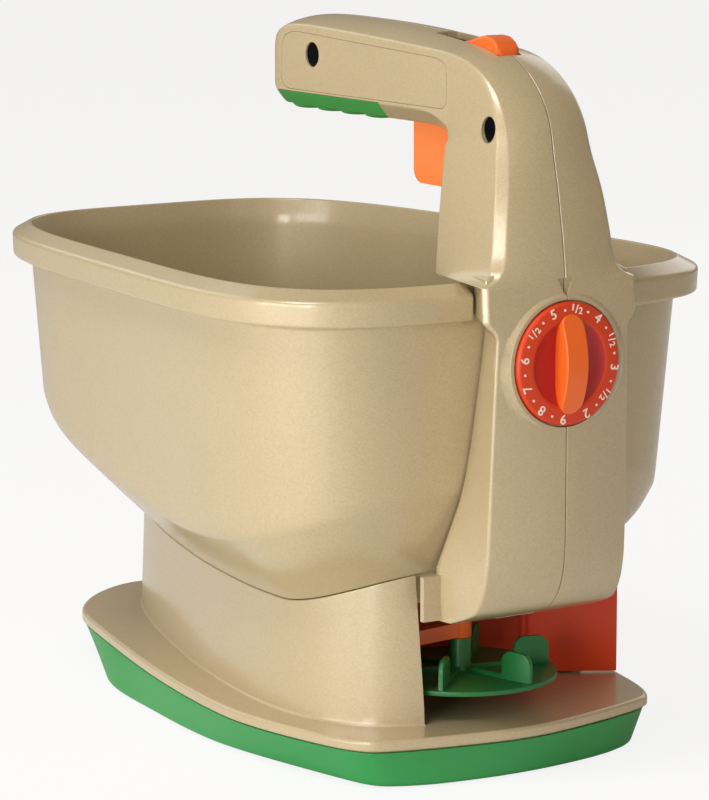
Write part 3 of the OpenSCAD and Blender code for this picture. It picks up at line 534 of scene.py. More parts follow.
STEP_Z = TRAY_H - 0.9
rings = [plat_ring(-4.2, STEP_Z), plat_ring(-2.4, STEP_Z), plat_ring(-2.3, TRAY_H),
         plat_ring(-0.3, TRAY_H), plat_ring(0, TRAY_H + 0.4), plat_ring(0, PLAT_Z - 1),
         plat_ring(-1, PLAT_Z), plat_ring(-6, PLAT_Z)]
radii = [0, 0, 0, 0.2, 0.3, 0.5, 0.6, 0]
platform = loft("pedestal_moulding", round_rings(rings, radii), (0, 0, STEP_Z), (0, 0, PLAT_Z))
rings = [ped_ring(-WALL, PLAT_Z - 1), ped_ring(0.8, PLAT_Z - 1), ped_ring(0.7, PLAT_Z + 0.05),
         ped_ring(-0.02, PLAT_Z + 0.7), seam_ring(0, -SHUT), seam_ring(-WALL, -SHUT),
         seam_ring(-WALL, -SHUT - 8)]
radii = [0, 0, 0.3, 0.6, 0.7, 0.5, 0]
column = loft("column", round_rings(rings, radii), ring_shaped=True)
carve(column, prism("chamber", chamber_outline(CHAMBER_R), PLAT_Z + 0.02, 120, 2))
carve(platform, column, how="UNION")
dress(platform, champagne, "body", "champagne_plastic", "pedestal")

# %% [markdown]
# The hopper is the largest moulding: a funnel that rises from the column,
# turns at a crease into nearly upright walls, and ends in a rim band that
# stands out all round.


# %% Rings of the hopper
DIP_Y, DIP_H, DIP_RISE = -50, 25, 25    # where the crease is lowest, and its rise to the front
FLOOR_SLOPE = 0.12    # the floor rises toward the back


def crease_at(y):
    """Height of the crease: it curves up to the front and rises slowly to the back."""
    if y < DIP_Y:
        along = max(-1, (y - DIP_Y) / (LIP_B - 48))
        return FLOOR_Z + DIP_H + DIP_RISE - DIP_RISE * (1 - along ** 2) ** 0.75
    return FLOOR_Z + DIP_H + 32 * ((y - DIP_Y) / 180) ** 1.6


def floor_at(y):
    return FLOOR_Z + FLOOR_SLOPE * max(0, y - FLAT_Y)


def wall_inset(z):
    """How far the leaning wall stands inside the lip."""
    return -WALL_IN - LEAN * max(0, WALL_Z - z)


def rim_ring(grow, z):
    return [(*lip_point(t, grow), z) for t in TURNS]


def crease_ring(grow, lift):
    made = []
    for t in TURNS:
        z = crease_at(lip_point(t, 0)[1])
        made.append((*lip_point(t, wall_inset(z) + grow), z + lift))
    return made


def funnel_ring(inset, lift):
    """A ring on the funnel at the height of the sloping floor."""
    made = []
    for t in TURNS:
        y = lip_point(t, -12)[1]
        z, zc = floor_at(y) + lift, crease_at(y)
        s, e = ped_point(t, -DRAFT - inset), lip_point(t, wall_inset(zc) - inset)
        zs = seam_at(s[1])
        f = max(0, (z - zs) / (zc - zs))
        made.append((s[0] + (e[0] - s[0]) * f, s[1] + (e[1] - s[1]) * f, z))
    return made


def mix_rings(p, q, f, g, bulge=0):
    """A ring between two others; bulge pushes the front corners further out sideways."""
    p, q = np.asarray(p), np.asarray(q)
    share = np.ones_like(p) * (f, f, g)
    share[:, 0] += bulge * np.clip((-85 - q[:, 1]) / 40, 0, 1)
    return p + (q - p) * share


print("crease", round(crease_at(DIP_Y), 1), "to", round(crease_at(LIP_B), 1), "mm high")

# %% [markdown]
# One loft runs up the hopper's outside, over the rim and down the inside one
# wall further in. A hump in the floor covers the motor, two ports let the
# granules fall on the spinner, and the rim is cut where the tower stands.

# %% Hopper
seam, crease = seam_ring(0, 0), crease_ring(0, 0)
rings = [funnel_ring(3.4, 0), seam_ring(-3.2, 0), seam, mix_rings(seam, crease, 0.5, 0.47, 0.3),
         mix_rings(seam, crease, 0.95, 0.92, 0.04), crease_ring(0, 3), rim_ring(-WALL_IN, WALL_Z - 0.6),
         rim_ring(RIM_OUT - 0.4, WALL_Z + 0.6), rim_ring(RIM_OUT, BAND_Z), rim_ring(0.6, RIM_Z),
         rim_ring(-0.4, RIM_Z - 0.3), rim_ring(-WALL_IN - WALL * 0.8, RIM_Z - 9),
         rim_ring(-WALL_IN - WALL, WALL_Z - 4), crease_ring(-WALL, 4), funnel_ring(3.4 + WALL, FLOOR_T),
         funnel_ring(9 + WALL, FLOOR_T)]
radii = [0, 0.5, 0.7, 30, 2.2, 2.2, 1.4, 1.2, 1.6, 0.7, 0.4, 3, 5, 6, 5, 0]
hopper = loft("hopper_moulding", round_rings(rings, radii),
              (0, FLAT_Y, FLOOR_Z), (0, FLAT_Y, FLOOR_Z + FLOOR_T))
MOTOR_H, FOOT_W, NOSE_Y = 38, 28.4, -179.5    # motor; tower's half width and front
POCKET_R = 15.8
HUMP_R, HUMP_TOP = POCKET_R + WALL, FLOOR_Z + 0.5 + MOTOR_H + 8
PORTS = (73, 107)    # degrees round the spinner


def port_outline(middle, half=math.radians(6.5), r0=22, r1=34):
    edge = [middle - half + 2 * half * i / 8 for i in range(9)]
    return soften([(r1 * math.cos(a), SPIN_Y + r1 * math.sin(a)) for a in edge]
                  + [(r0 * math.cos(a), SPIN_Y + r0 * math.sin(a)) for a in edge[::-1]], 0.8, 2)


hump = [(HUMP_R + 3, FLOOR_Z + 1), (HUMP_R + 3, FLOOR_Z + FLOOR_T), (HUMP_R + 0.8, FLOOR_Z + 4.2),
        (HUMP_R, FLOOR_Z + 7), (HUMP_R, HUMP_TOP - 3), (HUMP_R - 0.9, HUMP_TOP - 0.9),
        (HUMP_R - 3, HUMP_TOP)]
pocket = [(POCKET_R, FLOOR_Z + FLOOR_T), (POCKET_R, FLOOR_Z + FLOOR_T + MOTOR_H + 3)]
notch = rectangle(-FOOT_W - 0.6, FOOT_W + 0.6, NOSE_Y, LIP_Y - LIP_B + WALL_IN)
carve(hopper, spun("hump", hump, 0, SPIN_Y, 2), how="UNION")
carve(hopper, *[prism("port", port_outline(math.radians(a)), FLOOR_Z - 1, FLOOR_Z + 6, 2) for a in PORTS])
carve(hopper, prism("notch", notch, WALL_Z - 3, RIM_Z + 5, 2), spun("motor_pocket", pocket, 0, SPIN_Y, 2))
dress(hopper, champagne, "body", "champagne_plastic", "hopper")

# %% [markdown]
# Handle and tower are two half shells that meet on the middle plane. Think of
# a path that runs along the handle, round the corner and down the tower, with
# a section standing across it at each station. A station holds its place, the
# direction it looks, how far the section reaches to the inside and the outside
# of the bend, and its half widths there. The outer face is crowned, so its
# edges lie lower than its middle, a chamfer breaks them, a facet runs along
# the inner edges, and soft is the rounding of all these corners.

# %% Stations of the handle and tower
GAP = 0.4    # between the tower and the hopper's front
CORNER_Y, CORNER_Z, INNER_R = -122, 250, 7.3    # middle of the bend
HANDLE_TOP, HANDLE_W, HANDLE_END = 296, 18, 11
TOP_R, NOSE_R = HANDLE_TOP - CORNER_Z, CORNER_Y - NOSE_Y
FOOT_BACK_Z = 92    # the foot's back stands in line with the hopper here
FACE_W, COLLAR_W = FOOT_W + 3.6, FOOT_W + 8.2
Station = namedtuple("Station", "y z look inner outer back front crown chamfer facet soft lift wall")


def hop_front(z):
    """y of the hopper's front wall."""
    return LIP_Y - LIP_B - wall_inset(z)


def rear(z):
    """How far a tower section reaches back."""
    return CORNER_Y - hop_front(z) + GAP


FOOT_BACK, FOOT_IN = hop_front(FOOT_BACK_Z), rear(FOOT_BACK_Z)


def handle_station(y, inner, outer, half, crown, soft=0.9):
    return Station(y, CORNER_Z, 90, inner, outer, half, half, crown, 0.6, 5, soft, 0, WALL)


def tower_station(z, inner, outer, back, front, crown, chamfer=0.8, lift=0, wall=WALL):
    return Station(CORNER_Y, z, 180, inner, outer, back, front, crown, chamfer, 0.6, 0.8, lift, wall)


stations = [
    handle_station(HANDLE_END - 0.5, 10.5, TOP_R - 14, HANDLE_W - 3.4, 4.5, 3),
    handle_station(HANDLE_END - 2.2, 8.4, TOP_R - 8, HANDLE_W - 1.2, 4.2, 2.4),
    handle_station(HANDLE_END - 6.5, 7.5, TOP_R - 3, HANDLE_W - 0.1, 3.6, 1.5),
    handle_station(HANDLE_END - 18, INNER_R, TOP_R, HANDLE_W, 3.2, 1.1),
    handle_station(CORNER_Y + 77, INNER_R, TOP_R - 0.3, HANDLE_W, 4.2),
    handle_station(CORNER_Y + 47, INNER_R, TOP_R - 1.2, HANDLE_W, 4.7),
    handle_station(CORNER_Y + 24, INNER_R, TOP_R - 2.8, HANDLE_W, 4.4),
    handle_station(CORNER_Y + 12, INNER_R - 0.4, TOP_R - 4, HANDLE_W, 3.8)]
CORNER_IN = [3, 2.2, 1.6, 1.4, 1.4, 1.6, 2]
for inner, a in zip(CORNER_IN, range(90, 181, 15)):
    f, bulge = (a - 90) / 90, math.sin(math.radians(2 * (a - 90)))
    outer = TOP_R - 5.5 + 8 * math.sin(math.radians(a - 90)) ** 2 - 1.3 * f - 0.9 * bulge
    back, front = HANDLE_W + 2.4 * f, HANDLE_W - 0.6 * bulge + 4.6 * f ** 1.5
    chamfer, facet = 0.6 + 2.8 * max(0, (f - 0.2) / 0.8) ** 1.4, max(0.6, 4.4 - 7 * f)
    stations.append(Station(CORNER_Y, CORNER_Z, a, inner, outer, back, front, 3.1,
                            chamfer, facet, 0.9, 0, WALL - f))
bend_end = len(stations)
stations += [
    tower_station(CORNER_Z - 14, 2.8, NOSE_R - 7, FOOT_W - 5.8, FOOT_W - 2.9, 2.4, 3.6, wall=WALL - 1),
    tower_station(RIM_Z + 20, 4, NOSE_R - 4.1, FOOT_W - 3.5, FOOT_W - 0.5, 3, 3.8),
    tower_station(RIM_Z + 11, 4.8, NOSE_R - 2.8, FOOT_W - 2.4, FOOT_W + 0.6, 3.4, 3.9),
    tower_station(RIM_Z + 6.4, 5.2, NOSE_R - 2.3, FOOT_W - 1.8, FOOT_W + 1.8, 3.3, 3.6, WALL / 2),
    tower_station(RIM_Z + 3.4, 5.5, NOSE_R - 2, FOOT_W - 1.4, FOOT_W + 4, 3, 3, WALL),
    tower_station(RIM_Z + 1.8, 5.5, NOSE_R - 1.8, FOOT_W - 1.3, FOOT_W + 6.4, 2.8, 2.5, WALL),
    tower_station(RIM_Z + 0.9, 5.5, NOSE_R - 1.6, FOOT_W - 1.2, COLLAR_W, 2.6, 2, WALL),
    tower_station(RIM_Z + 0.3, rear(RIM_Z), NOSE_R - 1.5, FOOT_W - 4.2, COLLAR_W, 2.6, 2, WALL),
    tower_station(WALL_Z + 2, rear(RIM_Z), NOSE_R - 0.8, FOOT_W - 4.2, COLLAR_W, 2.4, 2),
    tower_station(WALL_Z - 3, rear(WALL_Z), NOSE_R - 0.5, FOOT_W - 9.8, FACE_W - 0.8, 2.1),
    tower_station(160, rear(160), NOSE_R, FOOT_W - 8, FACE_W, 3.2),
    tower_station(125, rear(125), NOSE_R, FOOT_W - 4.4, FACE_W + 0.8, 4.3),
    tower_station(107, rear(107), NOSE_R, FOOT_W + 0.2, FACE_W + 1.2, 4.8),
    tower_station(95, rear(95), NOSE_R - 0.2, FOOT_W + 4.4, FACE_W + 1.4, 5),
    tower_station(87, FOOT_IN, NOSE_R - 1.2, FOOT_W + 8, FACE_W + 1.6, 4.8),
    tower_station(79, FOOT_IN, NOSE_R - 3.8, FOOT_W + 8.2, FACE_W + 1.8, 4.2),
    tower_station(73, FOOT_IN, NOSE_R - 8, FOOT_W + 8.2, FACE_W + 2, 3.2),
    tower_station(FLOOR_Z + 0.6, FOOT_IN, NOSE_R - 12.6, FOOT_W + 8, FACE_W + 2.4, 2.2),
    tower_station(FLOOR_Z - 4, FOOT_IN, NOSE_R - 26.5, FOOT_W + 7.6, FACE_W + 3.2, 1)]
print(len(stations), "stations")

# %% [markdown]
# Each half shell is lofted through C-shaped loops: along the outside of the
# section, and back along the inside one wall further in. Every section has the
# same number of points on each straight, corner and crown, so an edge of one
# station runs on to the same edge of the next and highlights run clean. At the
# seam the outer edge is broken by a small chamfer, which draws the thin dark
# line.

# %% Half shells
SEAM_HALF, SEAM_BREAK = 0.2, 0.16


def section(st, inset=0, lift=0, back_step=0):
    """Points of half a section from the inside of the bend to the outside."""
    inner, outer = st.inner + inset, st.outer - inset
    back, front = st.back - inset, st.front - inset
    chamfer, facet, soft = (max(0.2, v - 0.6 * inset) for v in (st.chamfer, st.facet, st.soft))
    edge = front - chamfer
    corners = np.array([(inner, 0), (inner, back - facet), (inner + 1.2 * facet, back),
                        (outer - st.crown - chamfer, front), (outer - st.crown, edge)])
    across = np.linspace(edge - soft, 0, 15)
    crown = np.stack([outer - st.crown * (across / edge) ** 2, across], axis=1)
    bows = []
    for before, corner, after in zip(corners, corners[1:], [*corners[2:], crown[0]]):
        ways = (before - corner, after - corner)
        ends = [corner + way * min(soft / np.linalg.norm(way), 0.45) for way in ways]
        bows.append(bow(ends[0], corner, crown[0] if after is crown[0] else ends[1], 3))
    flank = np.linspace(bows[1][-1], bows[2][0], 10)[1:-1]
    start = np.linspace(corners[0], bows[0][0], 6)[:-1]
    line = np.vstack([start, bows[0], bows[1], flank, bows[2], bows[3], crown[1:]])
    reach, x, a = line[:, 0], line[:, 1], math.radians(st.look)
    y, z = st.y - back_step + reach * math.cos(a), st.z + reach * math.sin(a) + lift
    return np.stack([x, y, z], axis=1)


ACROSS = len(section(stations[0]))


def half_loop(i, side):
    """The closed C of one station: out along the section, back one wall further in."""
    st = stations[i]
    outer = section(st)
    a = math.radians(st.look)
    inward = np.array([0, math.cos(a), math.sin(a)]) * SEAM_BREAK
    first, last = outer[0].copy(), outer[-1].copy()
    outer[0, 0] = outer[-1, 0] = SEAM_HALF + SEAM_BREAK
    first[0] = last[0] = SEAM_HALF
    outer = np.vstack([first + inward, outer, last - inward])
    inner = section(st, st.wall, st.lift, max(0, 3 - i) * WALL / 3.2)[::-1]
    inner[0, 0] = inner[-1, 0] = SEAM_HALF
    loop = np.vstack([outer, inner])
    loop[:, 0] *= side
    return loop


def half_shell(name, side):
    """One half of handle and tower; smooth all along except at the collar over the rim."""
    loops = [half_loop(i, side) for i in range(len(stations))]
    tip = loops[0].copy()
    middle = CORNER_Z + (stations[0].inner + stations[0].outer) / 2
    tip[:ACROSS + 2] = (side * SEAM_HALF, HANDLE_END, middle)
    tip[ACROSS + 2:] = (side * SEAM_HALF, HANDLE_END - WALL, middle)
    loops.insert(0, tip)
    collar = [30, 30, 30, 30, 0.4, 0.3, 1, 2.5]
    radii = [0] + [60] * (bend_end + 2) + collar + [60] * (len(loops) - bend_end - 11)
    rings = round_rings(loops, radii, steps=6)
    n = len(rings[0])
    points = [p for ring in rings for p in ring]
    faces = [(i * n + j, i * n + (j + 1) % n, (i + 1) * n + (j + 1) % n, (i + 1) * n + j)
             for i in range(len(rings) - 1) for j in range(n)]
    end = (len(rings) - 1) * n
    faces += [(end + j, end + j + 1, end + n - 1 - j, end + n - j) for j in range(1, ACROSS)]
    faces += [(end, end + 1, end + n - 1), (end + ACROSS, end + ACROSS + 1, end + ACROSS + 2)]
    return upright(new_piece(name, points, faces))


left = half_shell("left_shell_moulding", -1)
right = half_shell("right_shell_moulding", 1)
print(left.name, len(left.data.polygons), "faces before carving")

# %% [markdown]
# Behind each flank of the tower a skirt follows the funnel back to the column.
# A low cone lifts the dial off the crowned face. The bores behind the screw
# wells are deep, and their faces are painted black as painted shade.

# %% Skirt, bezel and bores
WELL_R, BORE_R, BOSS_WALL = 5.2, 6.2, 1.2
DIAL_R, DIAL_Z = 24.6, 169.5
# (height, y of the funnel's front there, how far out the skirt stands)
SKIRT = [(FLOOR_Z - 3.6, -137.3, 31.4), (73, -137.2, 32), (79, -136.9, 32), (84.5, -136.7, 31.9),
         (95, -139.5, 29.6), (107, -143, 27.2), (113, -144.7, 25.8)]
SKIRT_T = 2.2


def skirt(side):
    front, rings = FOOT_BACK - 4, []
    for z, back, out in SKIRT:
        ring = [(side * x, y, z) for x, y in rectangle(out - SKIRT_T, out, front, back)]
        rings.append(ring[::side])
    return loft("skirt", rings, np.mean(rings[0], axis=0), np.mean(rings[-1], axis=0))


def bezel(side):
    """Half of the low cone that carries the dial where the crowned face falls away."""
    turn = [math.pi * (i / 36 - 0.5) for i in range(37)]
    profile = ((DIAL_R + 6, NOSE_Y + 6), (DIAL_R + 5.6, NOSE_Y + 3.4), (DIAL_R + 1.7, NOSE_Y + 0.35))
    rings = [[(side * (SEAM_HALF + r * math.cos(a)), y, DIAL_Z + r * math.sin(a)) for a in turn]
             for r, y in profile]
    middle = side * (SEAM_HALF + 3)
    return loft("bezel", rings, *[(middle, y, DIAL_Z) for y in (profile[0][1], profile[-1][1])])


def paint_bore_shade(piece, centre, wall_x):
    """Paint shade into the bore behind a screw well: its faces get the black material."""
    piece.data.materials.append(black)
    for face in piece.data.polygons:
        x, y, z = face.center / MM
        inside = math.hypot(y - centre[0], z - centre[1]) < BORE_R + 0.1
        if inside and wall_x - 0.2 < x < -4.5:
            face.material_index = 1


print("skirt from", SKIRT[0][0], "to", SKIRT[-1][0], "mm high")

# %% [markdown]
# Now the openings are cut: the bed of the soft grip, the battery door, the
# dial's recess, the slots of trigger and slider, and the wells of the screws.
# Solid bosses are joined on first where a screw or a pin needs something to
# hold it. OUT and FAR reach past the shells, so that a cut goes right through.

# %% Openings of the shells
COVER_SCREW, TOWER_SCREW = (-23, 280), (-155, 259.5)    # y and z of the two wells
PIN_Y, PIN_Z, TRIG_W, SLOT_W = -140, 243, 8, 5.8
GRIP_Y0, GRIP_Y1, GRIP_Z = -73, 5, 263.6
SLIDE_Y = CORNER_Y + 6
COVER_Y0, COVER_Y1, COVER_Z0, COVER_Z1 = -122, 2, 264.8, 289
POINTER = [(-3.7, 202.8), (0, 195), (3.7, 202.8)]
OUT, FAR = 40, 20


def cover_outline(grow):
    y0, y1, z0, z1 = COVER_Y0 - grow, COVER_Y1 + grow, COVER_Z0 - grow, COVER_Z1 + grow
    return soften([(y0, z0), (y0, z1 - 7), (COVER_Y0 + 6, z1 - 4.6), (COVER_Y1 - 10, z1),
                   (y1 - 2, z1 - 2.6), (y1, z0 + 4), (y1 - 4, z0)], 5)


flange_y = (FOOT_BACK - GAP - 2.5, FOOT_BACK - GAP - 0.1)
trigger_slot = soften(rectangle(PIN_Y - 1, PIN_Y + 56.8, PIN_Z - 18, PIN_Z + 25), 2)
slider_slot = soften(rectangle(-SLOT_W, SLOT_W, SLIDE_Y - 24, SLIDE_Y + 20), 1.5)
rod_window = rectangle(-14, 14, FOOT_BACK - 5.6, FOOT_BACK + 16)
grip_bed = rectangle(GRIP_Y0 - SHUT, GRIP_Y1 + SHUT, CORNER_Z, GRIP_Z + SHUT)
for shell, side in ((left, -1), (right, 1)):
    flange_x = sorted((side * (FOOT_W + 4), side * (FOOT_W + 16)))
    pin_x = sorted((side * (TRIG_W + 1.5), side * (HANDLE_W + 2)))
    boss_x = sorted((side * SEAM_HALF, side * (HANDLE_W + 0.8)))
    carve(shell, bezel(side),
          prism("flange", rectangle(*flange_x, *flange_y), FLOOR_Z - 3.4, SEAM_Z + SEAM_RISE - 0.4, 2),
          skirt(side),
          prism("pin_boss", circle(PIN_Y, PIN_Z, 5, 40), *pin_x, 0),
          prism("screw_boss", circle(*TOWER_SCREW, BORE_R + BOSS_WALL, 48), *boss_x, 0), how="UNION")
    carve(shell,
          prism("grip_bed", grip_bed, -OUT, OUT, 0),
          prism("dial_recess", circle(0, DIAL_Z, DIAL_R + GAP, 128), NOSE_Y - FAR, NOSE_Y + 2.3, 1),
          prism("spindle_bore", circle(0, DIAL_Z, 4.05, 40), NOSE_Y - FAR, NOSE_Y + FAR, 1),
          prism("trigger_slot", trigger_slot, -TRIG_W - 0.5, TRIG_W + 0.5, 0),
          prism("slider_slot", slider_slot, HANDLE_TOP - 13, HANDLE_TOP + 10, 2),
          prism("rod_window", rod_window, FLOOR_Z - 9, FLOOR_Z + 22, 2),
          prism("pointer", POINTER, NOSE_Y - 5, NOSE_Y + 3, 1))
TOWER_BORE_X, COVER_BORE_X = -HANDLE_W - 1.2, -HANDLE_W + 0.9
carve(left, prism("cover_opening", cover_outline(0.15), -OUT, -4, 0),
      prism("screw_well", circle(*TOWER_SCREW, WELL_R, 48), -OUT, -12, 0),
      prism("screw_bore", circle(*TOWER_SCREW, BORE_R, 48), TOWER_BORE_X, -5, 0))
dress(left, champagne, "body", "champagne_plastic", "left_shell")
# The bore behind the tower's screw well gets painted shade.
paint_bore_shade(left, TOWER_SCREW, TOWER_BORE_X)
dress(right, champagne, "body", "champagne_plastic", "right_shell")

# %% [markdown]
# The battery door is cut from the same half shell, so it follows the handle's
# curve exactly. A tube behind it leads the screwdriver to its screw.

# %% Battery cover
cover = half_shell("battery_cover_moulding", -1)
tube = circle(*COVER_SCREW, BORE_R + BOSS_WALL, 48)
carve(cover, prism("door", cover_outline(0), -OUT, -5, 0), how="INTERSECT")
carve(cover, prism("tube", tube, -HANDLE_W + 1, -3.3, 0), how="UNION")
carve(cover, prism("screw_well", circle(*COVER_SCREW, WELL_R, 48), -OUT, -12, 0),
      prism("screw_bore", circle(*COVER_SCREW, BORE_R, 48), COVER_BORE_X, -5, 0))
dress(cover, champagne, "body", "champagne_plastic", "battery_cover")
# The bore behind the door's screw well gets painted shade.
paint_bore_shade(cover, COVER_SCREW, COVER_BORE_X)

# %% [markdown]
# The soft grip is a second shot of rubbery plastic under the handle. It fills
# the bed in the shells and carries four finger pads.

# %% Grip insert
PAD_W, PAD_L, PAD_T, PAD_PITCH = 12.5, 8.2, 2.9, 18.2    # half sizes of a pad, and the pads' spacing
GRIP_INSET = 0.3    # the insert lies a little under the shells' face
rings = []
for st in stations[:7]:
    one = section(st, GRIP_INSET)
    rings.append(np.vstack([one, one[-2:0:-1] * (-1, 1, 1)]))
rings = round_rings(rings, [0] + [60] * 5 + [0], steps=6)
grip = loft("grip_insert_moulding", rings,
            (0, HANDLE_END, CORNER_Z + 17), (0, stations[6].y, CORNER_Z + 27))
bed = soften(rectangle(-OUT, OUT, GRIP_Y0, GRIP_Y1), 1)
carve(grip, prism("bed", bed, CORNER_Z - 10, GRIP_Z, 2), how="INTERSECT")


def finger_pad(y):
    """A cushion with rounded sides that stands out of the insert's underside."""
    rings, middle = [], CORNER_Z + INNER_R + 1.2
    turns = [2 * math.pi * i / 40 for i in range(40)]
    for k in range(13):
        a = math.pi * k / 12
        f = max(0.02, math.sin(a)) ** 0.7
        rings.append([(PAD_W * f * power(math.cos(t), 0.6), y - PAD_L * math.cos(a),
                       middle + PAD_T * f * power(math.sin(t), 0.6)) for t in turns])
    return loft("pad", rings, (0, y - PAD_L - 0.2, middle), (0, y + PAD_L + 0.2, middle))


carve(grip, *[finger_pad(GRIP_Y1 - 6.5 - PAD_PITCH * i) for i in range(4)], how="UNION")
dress(grip, soft_green, "body", "soft_green", "grip_insert", angle=40)

# %% [markdown]
# The power slider is a low orange dome with a ramp behind it for the thumb.
# Its height along the slot follows a few points, and each section is a rounded
# rectangle.

# %% Power slider
SLIDER_Y = [SLIDE_Y + d for d in (-23.4, -22.6, -20.6, -17.5, -13, -8, -3, 2, 6.4, 7.6)]
SLIDER_Z = [286, 289, 291.6, 293.4, 293.8, 292.9, 291.4, 290.6, 290.2, 287]
SLIDER_W, SLIDER_LOW = SLOT_W - 0.4, 284


def slider_ring(y):
    """Section of the slider, narrower at its two ends."""
    top = np.interp(y, SLIDER_Y, SLIDER_Z)
    squeeze = min(1, 0.55 + min(y - SLIDER_Y[0], SLIDER_Y[-1] - y) / 3)
    outline = soften(rectangle(-SLIDER_W * squeeze, SLIDER_W * squeeze, SLIDER_LOW, top), 1.8, 6)
    return [(x, y, z) for x, z in outline]


places = [np.linspace(-23.4, -20, 8), np.linspace(-19.4, 5, 34), np.linspace(5.6, 7.6, 6)]
rings = [slider_ring(y) for y in SLIDE_Y + np.concatenate(places)]
slider = loft("power_slider_moulding", rings, np.mean(rings[0], axis=0), np.mean(rings[-1], axis=0))
flange, tongue = rectangle(-9, 9, SLIDE_Y - 12, SLIDE_Y + 6), rectangle(-1, 1, SLIDE_Y - 4.5, SLIDE_Y - 2.5)
carve(slider, prism("flange", flange, CORNER_Z + 33.2, CORNER_Z + 35.6, 2),
      prism("tongue", tongue, CORNER_Z + 26, CORNER_Z + 34, 2), how="UNION")
dress(slider, orange, "slider", "orange_plastic", "power_slider", angle=45)

# %% [markdown]
# The dial is turned from a profile: a flat numbered rim and a bowl in a deeper
# red, which is painted shade. A bar to hold stands across it like a fin, with
# round ends and an arched top. The numbers are filled in with cream paint, so
# they are thin meshes that lie on the rim.

# %% Dial
DIAL_FACE = NOSE_Y + 2    # y of the dial's back
# Thick paint wiped into the marks: cream and matt.
cream = moulded("cream_mark_paint", "#F3E3D0", 0.5)
# ABS with a spark texture in a deeper red: painted shade that makes the bowl look deep.
bowl_shade_red = moulded("bowl_shade_red_abs", "#B81E1C", 0.42)

R = DIAL_R - 0.25
BOWL_R = R * 0.7
# (radius, height over the dial's back), from the back over the rim into the bowl
profile = [(R - 0.3, 0), (R, 0.3), (R, 2.4), (R - 0.25, 3.0), (R - 0.9, 3.5), (R - 1.4, 3.62),
           (R * 0.78, 4.0), (R * 0.75, 4.05), (R * 0.725, 3.95), (BOWL_R, 3.6), (R * 0.66, 2.9),
           (R * 0.6, 2.2), (R * 0.5, 1.5), (R * 0.38, 1.1), (R * 0.2, 1.0)]
dial = spun("dial_moulding", [(r, DIAL_FACE - h) for r, h in profile], 0, DIAL_Z, 1, 128)
carve(dial, prism("spindle", circle(0, DIAL_Z, 4, 40), DIAL_FACE - 1, DIAL_FACE + 7, 1), how="UNION")
BAR_W, BAR_L, BAR_H, BAR_ARCH = 5.1, 19.6, 9.45, 0.0142    # half sizes, height and how fast the top falls


def bar_ring(z):
    """Section of the bar at a distance along it from the dial's axis, with an arched top."""
    over = max(0, abs(z) - BAR_L + BAR_W) / BAR_W
    w = BAR_W * math.sqrt(max(0.004, 1 - over ** 2.4))
    outline = soften(rectangle(-w, w, 0.6, BAR_H - BAR_ARCH * z * z), min(0.8, 0.4 * w), 4)
    return [(x, DIAL_FACE - h, DIAL_Z + z) for x, h in outline]


turn = np.linspace(-1, 1, 65)
rings = [bar_ring(z) for z in BAR_L * np.sign(turn) * (1 - (1 - np.abs(turn)) ** 1.7)]
bar = loft("dial_bar", rings, np.mean(rings[0], axis=0), np.mean(rings[-1], axis=0))
dress(dial, red_orange, "dial", "red_plastic", "dial")
dress(bar, orange, "dial", "orange_plastic")
# Faces inside the bowl get the deeper red, painted shade.
dial.data.materials.append(bowl_shade_red)
for face in dial.data.polygons:
    x, y, z = face.center / MM
    if math.hypot(x, z - DIAL_Z) < BOWL_R and y < DIAL_FACE - 1:
        face.material_index = 1

# %% [markdown]
# The marks on a real dial are stamped into the rim and filled. Here each is
# typed in Blender's own font, turned into a mesh and laid on the rim with its
# top outward. A half is three small signs, and dots stand between the numbers.

# %% Numbers of the dial
MARKS = ["1/2", "4", "1/2", "3", "1/2", "2", "9", "8", "7", "6", "1/2", "5"]
MARK_R, MARK_SIZE, MARK_H = R * 0.882, 5.5, 3.86
MARK_T, MARK_BOLD, DOT_R = 0.12, 0.06, 0.5    # half thickness, widening of a stroke, radius of a dot
FIRST, STEP = math.radians(8), 2 * math.pi / len(MARKS)


def lettering(text, size, x=0, y=0):
    """Flat text as a mesh, centred on a point of the drawing plane (mm)."""
    letter = bpy.data.curves.new("mark", "FONT")
    letter.body, letter.size = text, size * MM
    letter.extrude, letter.offset = MARK_T * MM, MARK_BOLD * MM
    letter.align_x, letter.align_y, letter.resolution_u = "CENTER", "CENTER", 6
    flat = bpy.data.objects.new("mark", letter)
    scene.collection.objects.link(flat)
    graph = bpy.context.evaluated_depsgraph_get()
    mesh = bpy.data.meshes.new_from_object(flat.evaluated_get(graph))
    bpy.data.objects.remove(flat)
    points = [(v.co.x / MM + x, v.co.y / MM + y, v.co.z / MM) for v in mesh.vertices]
    return points, [tuple(f.vertices) for f in mesh.polygons]


def rim_mark(name, turn, drawings):
    """Lay flat drawings, upright round the origin, on the dial's rim."""
    c, s = math.cos(turn), math.sin(turn)
    side, up = np.array([c, 0, -s]), np.array([s, 0, c])
    centre = np.array([0, DIAL_FACE - MARK_H, DIAL_Z]) + up * MARK_R
    points, faces = [], []
    for drawn, corners in drawings:
        faces += [tuple(len(points) + k for k in face) for face in corners]
        points += [centre + side * x + up * y - np.array([0, z, 0]) for x, y, z in drawn]
    dress(new_piece(name, points, faces), cream, "dial", "red_plastic")


def dot(n=16):
    """A thin round plate of n sides."""
    points = [(x, y, z) for z in (-MARK_T, MARK_T) for x, y in circle(0, 0, DOT_R, n)]
    sides = [(i, (i + 1) % n, n + (i + 1) % n, n + i) for i in range(n)]
    return points, sides + [tuple(range(n))[::-1], tuple(range(n, 2 * n))]


for i, mark in enumerate(MARKS):
    if mark == "1/2":
        drawn = [lettering("1", 3.7, -1.9, 0.6), lettering("/", 4.7), lettering("2", 3.7, 1.9, -0.5)]
    else:
        drawn = [lettering(mark, MARK_SIZE)]
    rim_mark("dial_mark_%02d" % i, FIRST + i * STEP, drawn)
    if mark != "2":
        rim_mark("dial_dot_%02d" % i, FIRST + (i + 0.5) * STEP, [dot()])

